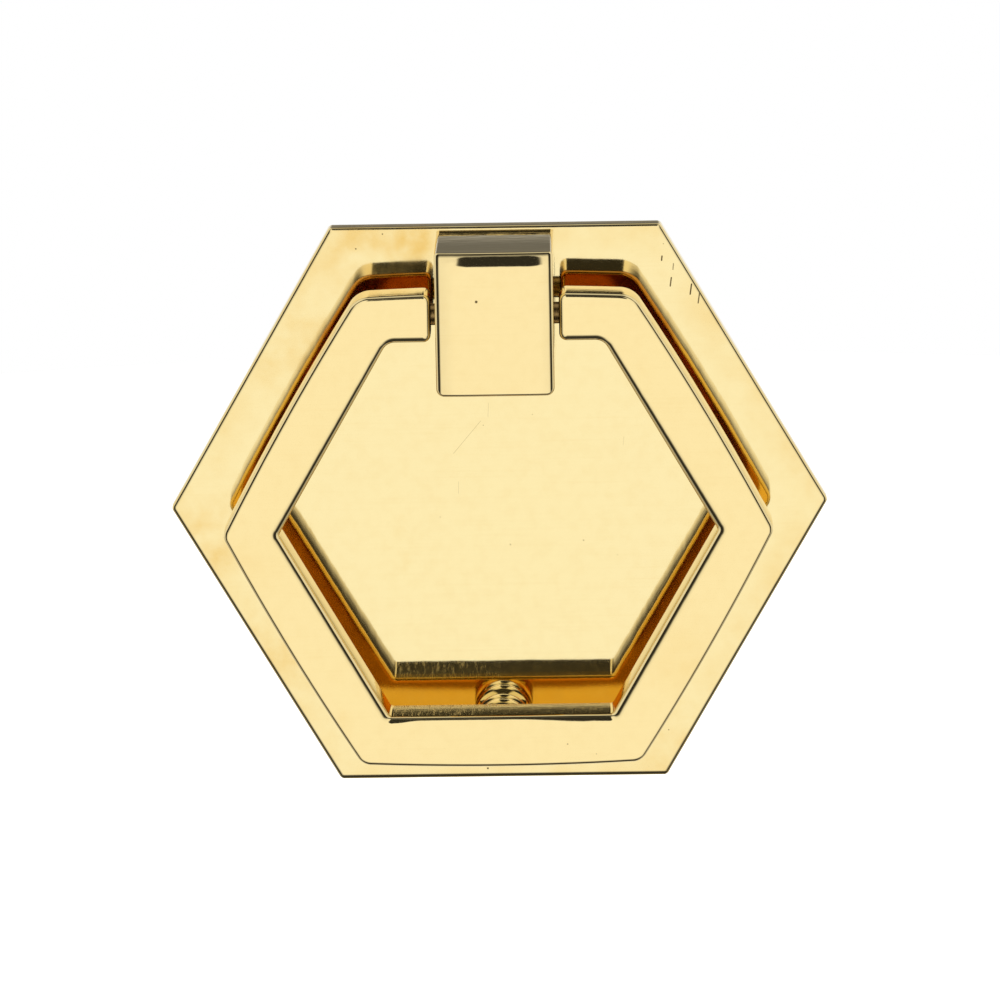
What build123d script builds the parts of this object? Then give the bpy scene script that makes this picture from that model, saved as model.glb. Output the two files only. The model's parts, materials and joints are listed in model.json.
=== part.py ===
from build123d import *
import os
from math import asin, atan2, copysign, cos, hypot, pi, radians, sin, tan

# Drop pull for a drawer: a hexagonal ring of flat bar hangs from a block on a hexagonal plate.
# Millimetres. +Z is up, the front faces -Y and the plate's back lies at Y = 0.
# The origin is the mouth of the fixing hole, which stands straight behind the hinge.

# Backplate
plate_across_flats = 66.0
plate_thickness = 1.8
plate_corner_radius = 0.7
plate_edge_radius = 0.3

# Bracket, the block that carries the hinge
bracket_width = 13.5
bracket_height = 16.7
bracket_above_hinge = 8.25
bracket_depth = 12.4
bracket_top_margin = 0.55
bracket_corner_radius = 0.9
bracket_edge_radius = 0.35
roll_radius = 6.0
roll_height = 2.55
spigot_side = 9.0
spigot_corner_radius = 1.0

# Fixing hole, drilled to be tapped for a 4 mm thread
fixing_hole_radius = 1.65
fixing_hole_depth = 5.5
drill_point_angle = 118.0

# Ring
ring_margin = 5.1
ring_side_bow = 0.4
ring_top_bar_width = 5.7
ring_side_bar_width = 6.1
ring_bottom_bar_width = 6.15
ring_bottom_rise = 0.35
ring_top_thickness = 5.7
ring_bottom_thickness = 6.6
ring_top_radius = 3.0
ring_side_radius = 1.5
ring_bottom_radius = 2.0
ring_upper_inner_radius = 1.5
ring_lower_inner_radius = 0.5
ring_end_radius = 0.9
ring_edge_radius = 0.4
ring_back_chamfer = 0.35

# Hinge
pin_radius = 1.25
pin_standoff = 6.7
pin_engagement = 4.0
pin_chamfer = 0.3
pin_end_gap = 0.5
ring_side_gap = 0.6

# Stop stud, a turned post with two faint beads behind the ring's bottom side
stud_height = 5.8
stud_bead_radius = 3.4
stud_neck_radius = 2.8
stud_neck_height = 0.9
stud_groove_radius = 3.3
stud_groove_height = 3.0
stud_shoulder_height = 0.7
stud_tip_radius = 2.3
stud_shank_radius = 1.6
stud_tail_radius = 2.4

# Clearances
running_clearance = 0.05
seat_clearance = 0.02
rest_gap = 0.05

# Places that follow from the sizes above
hexagon_sides = 6
half_side_angle = pi / hexagon_sides
hinge_above_centre = plate_across_flats / 2 - bracket_top_margin - bracket_above_hinge
plate_front = -plate_thickness
bracket_front = plate_front - bracket_depth
bracket_bottom = bracket_above_hinge - bracket_height
pin_y = plate_front - pin_standoff
ring_across_flats = plate_across_flats - 2 * ring_margin
ring_apothem = ring_across_flats / 2
ring_corner_reach = (ring_apothem - ring_side_bow) / cos(half_side_angle)
ring_drop = ring_apothem - ring_top_bar_width / 2
ring_bottom_corners = (4, 5)
ring_end_x = bracket_width / 2 + ring_side_gap
stud_z = -2 * ring_drop

# At rest the ring's back leans on the upper rim of the stud's tip, which sets the ring's tilt
stud_reach = -stud_z - stud_tip_radius
stud_rise = stud_height + rest_gap - pin_standoff
ring_taper = atan2(ring_bottom_thickness - ring_top_thickness, 2 * ring_drop)
ring_back_offset = ring_top_thickness / 2 * cos(ring_taper)
ring_back_tilt = asin(ring_back_offset / hypot(stud_reach, stud_rise)) + atan2(stud_rise, stud_reach)
ring_tilt = ring_back_tilt + ring_taper

# Planes: local Y of the first three points up, and local Y of the stud's section points out of the plate
back_plane = Plane(origin=(0, 0, 0), x_dir=(1, 0, 0), z_dir=(0, -1, 0))
plate_plane = Plane(origin=(0, 0, -hinge_above_centre), x_dir=(1, 0, 0), z_dir=(0, -1, 0))
ring_plane = Plane(origin=(0, pin_y, 0), x_dir=(1, 0, 0), z_dir=(0, -cos(ring_tilt), sin(ring_tilt)))
profile_plane = Plane(origin=ring_plane.origin, x_dir=ring_plane.y_dir, z_dir=ring_plane.x_dir)
stud_plane = Plane(origin=(0, plate_front, stud_z), x_dir=(1, 0, 0), z_dir=(0, 0, -1))
stud_axis = Axis((0, 0, stud_z), (0, 1, 0))


def ring_corner(number):
    """A corner of the ring's outer hexagon in the ring's plane, counted round from the right."""
    angle = 2 * half_side_angle * number
    across = ring_corner_reach * cos(angle)
    rise = ring_bottom_rise if number in ring_bottom_corners else 0
    spread = copysign(rise * tan(half_side_angle), across)
    return (across + spread, ring_corner_reach * sin(angle) - ring_drop + rise)


def ring_side_middle(number):
    """The middle of the bowed side that starts at a corner of the same number."""
    angle = 2 * half_side_angle * number + half_side_angle
    rise = ring_bottom_rise if number == ring_bottom_corners[0] else 0
    return (ring_apothem * cos(angle), ring_apothem * sin(angle) - ring_drop + rise)


def opening_corner(level, side):
    """A corner of the opening, at a level over the ring's centre; side is 1 on the right, -1 on the left."""
    side_apothem = ring_apothem - ring_side_bar_width
    across = (side_apothem - abs(level) * sin(half_side_angle)) / cos(half_side_angle)
    return (side * across, level - ring_drop)


def ring_back(level):
    """A point of the ring's back at a level over the hinge, in the plane of the ring's side profile."""
    return (level, level * tan(ring_taper) - ring_top_thickness / 2)


def stud_shank(clearance):
    """Half section of the stud's shank with its riveted tail, grown outwards by a clearance."""
    tail_depth = stud_tail_radius - stud_shank_radius
    Polyline(
        (0, -plate_thickness),
        (stud_tail_radius + clearance, -plate_thickness),
        (stud_shank_radius + clearance, tail_depth - plate_thickness),
        (stud_shank_radius + clearance, 0),
    )


os.makedirs("parts", exist_ok=True)

# Backplate: a flat hexagon with two level sides
with BuildPart() as backplate:
    with BuildSketch(plate_plane) as plate_outline:
        RegularPolygon(plate_across_flats / 2, hexagon_sides, major_radius=False)
        fillet(plate_outline.vertices(), plate_corner_radius)
    extrude(amount=plate_thickness)
    fillet(backplate.faces().sort_by(Axis.Y)[0].edges(), plate_edge_radius)
    # Square hole for the bracket's spigot
    spigot_hole_side = spigot_side + 2 * seat_clearance
    with BuildSketch(back_plane):
        RectangleRounded(spigot_hole_side, spigot_hole_side, spigot_corner_radius + seat_clearance)
    extrude(amount=plate_thickness, mode=Mode.SUBTRACT)
    # Hole for the stud, countersunk at the back
    with BuildSketch(stud_plane):
        with BuildLine() as hole_section:
            stud_shank(seat_clearance)
            Polyline(hole_section.line @ 1, (0, 0), hole_section.line @ 0)
        make_face()
    revolve(axis=stud_axis, mode=Mode.SUBTRACT)

backplate.part.label = "backplate"
export_step(backplate.part, "parts/backplate.step")

# Bracket: a block with a softened front and a spigot that fills the plate's hole
with BuildPart() as bracket:
    with BuildSketch(back_plane.offset(plate_thickness)):
        with Locations((0, bracket_above_hinge - bracket_height / 2)):
            RectangleRounded(bracket_width, bracket_height, bracket_corner_radius)
    extrude(amount=bracket_depth)
    # Side profile: the front is flat and rolls back just below the top edge
    roll_angle = asin(roll_height / roll_radius)
    roll_setback = roll_radius * (1 - cos(roll_angle))
    roll_start = (bracket_front, bracket_above_hinge - roll_height)
    roll_end = (bracket_front + roll_setback, bracket_above_hinge)
    with BuildSketch(Plane.YZ):
        with BuildLine():
            TangentArc(roll_start, roll_end, tangent=(0, 1))
            Polyline(
                roll_end,
                (plate_front, bracket_above_hinge),
                (plate_front, bracket_bottom),
                (bracket_front, bracket_bottom),
                roll_start,
            )
        make_face()
    extrude(amount=bracket_width, both=True, mode=Mode.INTERSECT)
    front_edges = bracket.edges().filter_by_position(Axis.Y, bracket_front, bracket_front + roll_setback)
    fillet(front_edges, bracket_edge_radius)
    with BuildSketch(back_plane):
        RectangleRounded(spigot_side, spigot_side, spigot_corner_radius)
    extrude(amount=plate_thickness)
    # Pin bore from side to side
    with BuildSketch(Plane.YZ):
        with Locations((pin_y, 0)):
            Circle(pin_radius + seat_clearance)
    extrude(amount=bracket_width, both=True, mode=Mode.SUBTRACT)
    # Fixing hole from the back, with the drill's point at its end
    drill_point = fixing_hole_radius / tan(radians(drill_point_angle / 2))
    with BuildSketch(Plane.XY):
        with BuildLine():
            Polyline(
                (0, 0),
                (fixing_hole_radius, 0),
                (fixing_hole_radius, -fixing_hole_depth),
                (0, -fixing_hole_depth - drill_point),
                close=True,
            )
        make_face()
    revolve(axis=Axis.Y, mode=Mode.SUBTRACT)

bracket.part.label = "bracket"
export_step(bracket.part, "parts/bracket.step")

# Opening of the ring: a straight-sided hexagon that leaves the bar widest at the bottom
ring_bottom_level = ring_bottom_rise - ring_apothem
opening_levels = (ring_apothem - ring_top_bar_width, 0, ring_bottom_level + ring_bottom_bar_width)
with BuildSketch() as ring_opening:
    with BuildLine():
        right_corners = [opening_corner(level, 1) for level in opening_levels]
        left_corners = [opening_corner(level, -1) for level in reversed(opening_levels)]
        Polyline(*right_corners, *left_corners, close=True)
    make_face()
    opening_corners = ring_opening.vertices().group_by(Axis.Y)
    fillet(opening_corners[-1], ring_upper_inner_radius)
    opening_corners = ring_opening.vertices().group_by(Axis.Y)
    fillet(opening_corners[0] + opening_corners[1], ring_lower_inner_radius)

# Ring: a hexagon of bar with bowed outer sides, cut through where the bracket stands
with BuildPart() as drop_ring:
    with BuildSketch(ring_plane) as ring_outline:
        with BuildLine():
            for side in range(hexagon_sides):
                ThreePointArc(ring_corner(side), ring_side_middle(side), ring_corner(side + 1))
        make_face()
        # Corners from the top down, counted by their level
        for level, radius in ((-1, ring_top_radius), (1, ring_side_radius), (0, ring_bottom_radius)):
            fillet(ring_outline.vertices().group_by(Axis.Y)[level], radius)
        add(ring_opening.sketch, mode=Mode.SUBTRACT)
        Rectangle(2 * ring_end_x, 2 * ring_top_bar_width, mode=Mode.SUBTRACT)
        end_corners = ring_outline.vertices().filter_by_position(Axis.X, -ring_end_x, ring_end_x)
        top_bar_corners = end_corners.filter_by_position(Axis.Y, -ring_top_bar_width, ring_top_bar_width)
        fillet(top_bar_corners, ring_end_radius)
    extrude(amount=ring_bottom_thickness, both=True)
    # Side profile: the bar grows thicker towards the bottom
    profile_top = ring_top_bar_width
    profile_bottom = -ring_drop - ring_across_flats
    with BuildSketch(profile_plane):
        with BuildLine():
            Polyline(
                (profile_top, ring_top_thickness / 2),
                (profile_bottom, ring_top_thickness / 2),
                ring_back(profile_bottom),
                ring_back(profile_top),
                close=True,
            )
        make_face()
    extrude(amount=ring_across_flats, both=True, mode=Mode.INTERSECT)
    # Blind bores for the pin in the two ends, cut from the middle outwards
    with BuildSketch(Plane.YZ):
        with Locations((pin_y, 0)):
            Circle(pin_radius + running_clearance)
    extrude(amount=ring_end_x + pin_engagement + pin_end_gap, both=True, mode=Mode.SUBTRACT)
    # Rounded edges at the front, and broken ones at the back
    ring_depth_axis = Axis(ring_plane.origin, ring_plane.z_dir)
    fillet(drop_ring.faces().sort_by(ring_depth_axis)[-1].edges(), ring_edge_radius)
    chamfer(drop_ring.faces().sort_by(ring_depth_axis)[0].edges(), ring_back_chamfer)

drop_ring.part.label = "drop_ring"
export_step(drop_ring.part, "parts/drop_ring.step")

# Hinge pin: held in the bracket, with its ends in the ring
with BuildPart() as hinge_pin:
    with BuildSketch(Plane.YZ):
        with Locations((pin_y, 0)):
            Circle(pin_radius)
    extrude(amount=ring_end_x + pin_engagement, both=True)
    chamfer(hinge_pin.edges().filter_by(GeomType.CIRCLE), pin_chamfer)

hinge_pin.part.label = "hinge_pin"
export_step(hinge_pin.part, "parts/hinge_pin.step")

# Stop stud: a necked post with two faint beads, and a shank riveted over in the plate's back
stud_rim_heights = (stud_neck_height, stud_groove_height, stud_height - stud_shoulder_height)
stud_rims = [(stud_groove_radius, height) for height in stud_rim_heights]
with BuildPart() as stop_stud:
    with BuildSketch(stud_plane):
        with BuildLine() as stud_section:
            stud_shank(0)
            Polyline(stud_section.line @ 1, (stud_neck_radius, 0), stud_rims[0])
            for lower, upper in zip(stud_rims, stud_rims[1:]):
                ThreePointArc(lower, (stud_bead_radius, (lower[1] + upper[1]) / 2), upper)
            Polyline(stud_rims[-1], (stud_tip_radius, stud_height), (0, stud_height), (0, -plate_thickness))
        make_face()
    revolve(axis=stud_axis)

stop_stud.part.label = "stop_stud"
export_step(stop_stud.part, "parts/stop_stud.step")
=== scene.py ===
"""Dresses the hexagonal drop pull in polished brass, and sets its light tent, floor and camera.

Lengths are metres and angles are degrees. X runs right, the front faces -Y, Z is up.
"""

from __future__ import annotations

import json
import logging
import math
from collections.abc import Iterable, Sequence
from dataclasses import astuple, dataclass, field
from enum import Enum

import bmesh
import bpy
from bpy.types import ID, Material, Mesh, Node, NodeSocket, NodeTree, Object
from mathutils import Matrix, Vector
from mathutils.geometry import tessellate_polygon

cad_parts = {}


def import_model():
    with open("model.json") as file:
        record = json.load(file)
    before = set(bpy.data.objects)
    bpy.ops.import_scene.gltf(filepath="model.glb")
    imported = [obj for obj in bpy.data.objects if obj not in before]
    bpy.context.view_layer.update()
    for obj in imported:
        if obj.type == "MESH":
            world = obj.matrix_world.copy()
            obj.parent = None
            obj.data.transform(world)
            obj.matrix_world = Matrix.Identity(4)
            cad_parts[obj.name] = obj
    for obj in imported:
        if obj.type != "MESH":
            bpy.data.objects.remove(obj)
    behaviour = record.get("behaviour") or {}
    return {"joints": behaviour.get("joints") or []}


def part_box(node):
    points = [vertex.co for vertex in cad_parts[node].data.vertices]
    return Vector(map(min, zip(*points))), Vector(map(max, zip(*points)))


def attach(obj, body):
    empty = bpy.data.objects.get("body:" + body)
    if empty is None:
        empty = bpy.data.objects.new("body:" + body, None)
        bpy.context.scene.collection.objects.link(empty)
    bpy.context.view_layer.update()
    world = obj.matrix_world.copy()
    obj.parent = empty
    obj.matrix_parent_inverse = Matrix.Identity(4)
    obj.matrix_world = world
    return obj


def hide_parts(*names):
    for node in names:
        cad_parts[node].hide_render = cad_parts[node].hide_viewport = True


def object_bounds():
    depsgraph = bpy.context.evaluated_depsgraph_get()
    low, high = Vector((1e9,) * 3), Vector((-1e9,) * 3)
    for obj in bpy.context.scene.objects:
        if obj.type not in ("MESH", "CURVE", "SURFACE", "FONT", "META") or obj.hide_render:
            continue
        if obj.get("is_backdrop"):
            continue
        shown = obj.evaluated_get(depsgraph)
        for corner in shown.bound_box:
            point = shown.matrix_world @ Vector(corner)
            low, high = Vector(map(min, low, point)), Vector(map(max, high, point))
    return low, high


LOG = logging.getLogger("drop_pull")
MM = 0.001
MICRON = 0.000001
SQUARE_SIDES = 4
HEXAGON_SIDES = 6
SIDE_TURN = 360.0 / HEXAGON_SIDES
HALF_SIDE_TURN = SIDE_TURN / 2.0
QUARTER_TURN = 90.0
HALF_TURN = 180.0
FULL_TURN = 360.0
RIGHT = Vector((1.0, 0.0, 0.0))
FRONT = Vector((0.0, -1.0, 0.0))
BACK = Vector((0.0, 1.0, 0.0))
UP = Vector((0.0, 0.0, 1.0))
Triple = tuple[float, float, float]


class Body(Enum):
    """The two bodies of the pull."""

    BASE = "base"
    RING = "ring"


class Slot(Enum):
    """The record's material slots."""

    PLATE = "plate_brass"
    BRACKET = "bracket_brass"
    RING = "ring_brass"
    PIN = "pin_brass"
    STUD = "stud_brass"


def ray(angle: float) -> Vector:
    """Unit vector in a plane at an angle from its first axis."""
    return Vector((math.cos(math.radians(angle)), math.sin(math.radians(angle))))


def stood(flat: Vector) -> Vector:
    """A vector of a plane, stood up in the frame's X and Z."""
    return Vector((flat.x, 0.0, flat.y))


def spread(first: float, last: float, steps: int) -> list[float]:
    """Evenly spaced values from first to last, both included."""
    return [first + (last - first) * step / steps for step in range(steps + 1)]


def smooth_step(value: float, low: float, high: float) -> float:
    """Share from 0 below low to 1 above high, with soft ends."""
    share = min(max((value - low) / (high - low), 0.0), 1.0)
    return share * share * (3.0 - 2.0 * share)


def sag(reach: float, radius: float) -> tuple[float, float]:
    """Finds how far an arc has fallen back.

    Args:
        reach: Distance from the arc's top.
        radius: The arc's radius.

    Returns:
        The fall, and the slope there.
    """
    if reach <= 0.0:
        return 0.0, 0.0
    rest = math.sqrt(radius * radius - reach * reach)
    return radius - rest, reach / rest


def soft_margin(past: float, width: float, tilt: float) -> tuple[float, float]:
    """Sag and slope of a margin that leans by tilt at its outer limit, some way past that limit."""
    return sag(past + width, width / ray(tilt).y)


def placed(name: str, data: ID) -> Object:
    """Links a new object to the scene.

    Args:
        name: Name of the object.
        data: Its mesh or camera.

    Returns:
        The object, at the origin.
    """
    made = bpy.data.objects.new(name, data)
    bpy.context.scene.collection.objects.link(made)
    return made


def middle_of(node: str) -> Vector:
    """Middle of a CAD node's box."""
    low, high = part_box(node)
    return (low + high) / 2.0


@dataclass
class MeshDraft:
    """Collects the points and faces of one piece, with the exact normal at every face corner."""

    points: list[Vector] = field(default_factory=list)
    faces: list[list[int]] = field(default_factory=list)
    corner_normals: list[Vector] = field(default_factory=list)

    def loop(self, places: Iterable[Vector]) -> list[int]:
        """Adds points and gives their numbers.

        Args:
            places: Where the points lie.

        Returns:
            The points' numbers, in the same order.
        """
        first = len(self.points)
        self.points.extend(places)
        return list(range(first, len(self.points)))

    def face(self, corners: Sequence[int], normals: Sequence[Vector]) -> None:
        """Adds one face, turned to look the way its normals point.

        Args:
            corners: Numbers of the corner points.
            normals: The surface's normal at each corner.
        """
        places = [self.points[corner] for corner in corners]
        facing = Vector()
        for here, after in zip(places, places[1:] + places[:1]):
            facing += (here - places[0]).cross(after - places[0])
        step = 1 if facing.dot(sum(normals, Vector())) >= 0.0 else -1
        self.faces.append(list(corners)[::step])
        self.corner_normals.extend(list(normals)[::step])

    def band(
        self,
        first: Sequence[int],
        second: Sequence[int],
        first_normals: Sequence[Vector],
        second_normals: Sequence[Vector],
        left_open: Sequence[int] = (),
        closed: bool = True,
    ) -> None:
        """Joins two lines of points by a band of four-sided faces.

        Args:
            first: Points of one line.
            second: Points of the other line, as many.
            first_normals: Normals along the first line.
            second_normals: Normals along the second line.
            left_open: Places along the band that get no face.
            closed: Whether the band runs round to its start.
        """
        count = len(first)
        for here in range(count if closed else count - 1):
            after = (here + 1) % count
            if here not in left_open:
                self.face(
                    (first[here], first[after], second[after], second[here]),
                    (first_normals[here], first_normals[after], second_normals[after], second_normals[here]),
                )

    def flat(self, loop: Sequence[int], normal: Vector, holes: Sequence[Sequence[int]] = ()) -> None:
        """Fills a flat loop, round the holes in it.

        Args:
            loop: Points round the outside.
            normal: Which way the fill looks.
            holes: Loops that stay open.
        """
        if not holes:
            self.face(loop, [normal] * len(loop))
            return
        rings = [list(loop), *[list(hole) for hole in holes]]
        numbers = [number for ring in rings for number in ring]
        in_millimetres = [[self.points[number] / MM for number in ring] for ring in rings]
        for triangle in tessellate_polygon(in_millimetres):
            self.face([numbers[corner] for corner in triangle], [normal] * len(triangle))

    def bore(self, mouth: Sequence[int], end: Sequence[int]) -> None:
        """Lines a straight round bore between two loops of points.

        Args:
            mouth: Points round the bore's mouth.
            end: Points round its far end, in the same order.
        """
        centre = sum((self.points[number] for number in mouth), Vector()) / len(mouth)
        inward = [(centre - self.points[number]).normalized() for number in mouth]
        self.band(mouth, end, inward, inward)

    def build(self, name: str) -> Object:
        """Makes the piece's object.

        Args:
            name: Name of the piece.

        Returns:
            The object, at the origin and linked to the scene.
        """
        mesh = bpy.data.meshes.new(name)
        mesh.from_pydata([tuple(point) for point in self.points], [], self.faces)
        mesh.polygons.foreach_set("use_smooth", [True] * len(mesh.polygons))
        mesh.normals_split_custom_set([tuple(normal) for normal in self.corner_normals])
        mesh.update()
        return placed(name, mesh)


@dataclass(frozen=True)
class EdgeStation:
    """One point over a rounded edge: its inset from the wall, drop below the face and tilt."""

    inset: float
    drop: float
    tilt: float


MARGIN_STEPS = 4
ROUND_STEPS = 8
CROWN_STEPS = 2
SHARP_ANGLE = 30.0


@dataclass(frozen=True)
class RolledEdge:
    """How a face goes over into a wall: a soft margin from the buffing wheel, a tight round, a crowned wall.

    Attributes:
        radius: Radius of the tight round.
        margin: Width of the soft margin in the face.
        margin_tilt: How far the margin leans where it meets the round.
        crown: How far the wall leans where it meets the round.
    """

    radius: float
    margin: float
    margin_tilt: float
    crown: float

    def blend(self, other: RolledEdge, share: float) -> RolledEdge:
        """An edge between this one and another."""
        pairs = zip(astuple(self), astuple(other))
        return RolledEdge(*(mine + (theirs - mine) * share for mine, theirs in pairs))

    def stations(self, half_wall: float) -> list[EdgeStation]:
        """Stations from the flat face to the middle of the wall.

        Args:
            half_wall: Height of the face over the middle of the wall.

        Returns:
            The stations, the first in the face and the last in the middle of the wall.
        """
        lean = ray(self.margin_tilt)
        crown = ray(self.crown)
        margin_sweep = self.margin / lean.y
        round_drop = margin_sweep * (1.0 - lean.x) + self.radius * lean.x
        wall = half_wall - round_drop + self.radius * crown.y
        wall_sweep = wall / crown.y
        round_inset = wall_sweep * (1.0 - crown.x) + self.radius * crown.x
        margin_inset = round_inset - self.radius * lean.y + self.margin
        wall_tilt = QUARTER_TURN - self.crown
        runs = (
            (margin_inset, margin_sweep, margin_sweep, spread(0.0, self.margin_tilt, MARGIN_STEPS)[:-1]),
            (round_inset, round_drop, self.radius, spread(self.margin_tilt, wall_tilt, ROUND_STEPS)),
            (wall_sweep, half_wall, wall_sweep, spread(wall_tilt, QUARTER_TURN, CROWN_STEPS)[1:]),
        )
        found = []
        for inset, drop, sweep, tilts in runs:
            for tilt in tilts:
                turn = ray(tilt)
                found.append(EdgeStation(inset - sweep * turn.y, drop - sweep * turn.x, tilt))
        return found


@dataclass
class Outline:
    """Closed line round a flat piece, with the outward normal and the front edge's form at each point."""

    places: list[Vector] = field(default_factory=list)
    normals: list[Vector] = field(default_factory=list)
    edges: list[RolledEdge] = field(default_factory=list)

    def add(self, place: Vector, normal: Vector, edge: RolledEdge) -> None:
        """Adds a point, unless it is the last one again.

        Args:
            place: Where it lies.
            normal: The outward normal there.
            edge: Form of the front edge there.
        """
        if self.places and (place - self.places[-1]).length < MICRON:
            return
        self.places.append(place)
        self.normals.append(normal)
        self.edges.append(edge)

    def arc(
        self,
        centre: Vector,
        radius: float,
        start: float,
        turn: float,
        steps: int,
        edges: tuple[RolledEdge, RolledEdge],
        hollow: bool = False,
    ) -> None:
        """Adds the points of an arc.

        Args:
            centre: The arc's centre.
            radius: Its radius.
            start: Angle of its first point.
            turn: How far it goes round, positive to the left.
            steps: How many runs it is cut into.
            edges: Form of the front edge at its start and its end.
            hollow: Whether the material lies outside the arc.
        """
        for step, angle in enumerate(spread(start, start + turn, steps)):
            normal = -ray(angle) if hollow else ray(angle)
            self.add(centre + ray(angle) * radius, normal, edges[0].blend(edges[1], step / steps))

    def run(self, end: Vector, edges: Sequence[RolledEdge]) -> None:
        """Adds points along a straight run, without its two ends.

        Args:
            end: Where the run ends.
            edges: Form of the front edge at each of the points.
        """
        start = self.places[-1]
        normal = self.normals[-1]
        for step, edge in enumerate(edges, start=1):
            self.add(start.lerp(end, step / (len(edges) + 1)), normal, edge)


@dataclass(frozen=True)
class FaceLevel:
    """Height of a face over the outline's plane, and how fast it rises along the outline's own Y."""

    height: float
    slope: float = 0.0

    def at(self, place: Vector) -> float:
        """The face's height over a point of the plane."""
        return self.height + self.slope * place.y


@dataclass(frozen=True)
class SlabLoops:
    """Loops of a slab: round its two faces, and the lines of points down its walls."""

    front_face: list[int]
    back_face: list[int]
    wall: list[list[int]]


@dataclass
class Slab:
    """A flat piece with rounded edges, made from its outline. Its own Z points to the front.

    Attributes:
        outline: Line round the walls.
        placement: Where the outline's plane stands.
        front: Level of the front face.
        back: Level of the back face.
        back_edge: Form of the edge between back face and walls.
    """

    outline: Outline
    placement: Matrix
    front: FaceLevel
    back: FaceLevel
    back_edge: RolledEdge

    def aim(self, normal: Vector, tilt: float, side: float, slope: float = 0.0) -> Vector:
        """A normal in the frame.

        Args:
            normal: Outward normal in the outline's plane.
            tilt: Lean away from the face, 90 in the wall.
            side: 1 at the front and -1 at the back.
            slope: Slope of the face along the outline's Y.

        Returns:
            The unit normal.
        """
        flat = ray(tilt)
        local = Vector((normal.x * flat.y, normal.y * flat.y, side * flat.x))
        local.y -= slope * local.z
        return (self.placement.to_3x3() @ local).normalized()

    def half(
        self, draft: MeshDraft, face: FaceLevel, edges: Sequence[RolledEdge], side: float
    ) -> tuple[list[list[int]], list[list[Vector]]]:
        """Adds the lines of points over one face's edge.

        Args:
            draft: Mesh to add to.
            face: Level of the face.
            edges: Form of its edge at each point of the outline.
            side: 1 at the front and -1 at the back.

        Returns:
            The lines from the face to the middle of the wall, and the normals along them.
        """
        columns = []
        for place, edge in zip(self.outline.places, edges):
            columns.append(edge.stations((self.front.at(place) - self.back.at(place)) / 2.0))
        lines = []
        aims = []
        for number in range(len(columns[0])):
            spots = []
            normals = []
            for place, normal, column in zip(self.outline.places, self.outline.normals, columns):
                station = column[number]
                inner = place - normal * station.inset
                level = face.at(inner) - side * station.drop
                spots.append(self.placement @ Vector((inner.x, inner.y, level)))
                normals.append(self.aim(normal, station.tilt, side, face.slope))
            lines.append(draft.loop(spots))
            aims.append(normals)
        return lines, aims

    def add_to(self, draft: MeshDraft, open_runs: Sequence[int] = ()) -> SlabLoops:
        """Adds the edges and walls, and leaves both faces open.

        Args:
            draft: Mesh to add to.
            open_runs: Outline points whose run to the next point gets no wall.

        Returns:
            The loops that the faces and open walls are filled from.
        """
        front, front_aims = self.half(draft, self.front, self.outline.edges, 1.0)
        back, back_aims = self.half(draft, self.back, [self.back_edge] * len(self.outline.places), -1.0)
        lines = front + back[-2::-1]
        aims = front_aims + back_aims[-2::-1]
        first_wall = len(front) - 1 - CROWN_STEPS
        last_wall = len(front) - 1 + CROWN_STEPS
        for number in range(len(lines) - 1):
            skipped = open_runs if first_wall <= number < last_wall else ()
            draft.band(lines[number], lines[number + 1], aims[number], aims[number + 1], left_open=skipped)
        return SlabLoops(lines[0], lines[-1], lines[first_wall : last_wall + 1])


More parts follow.
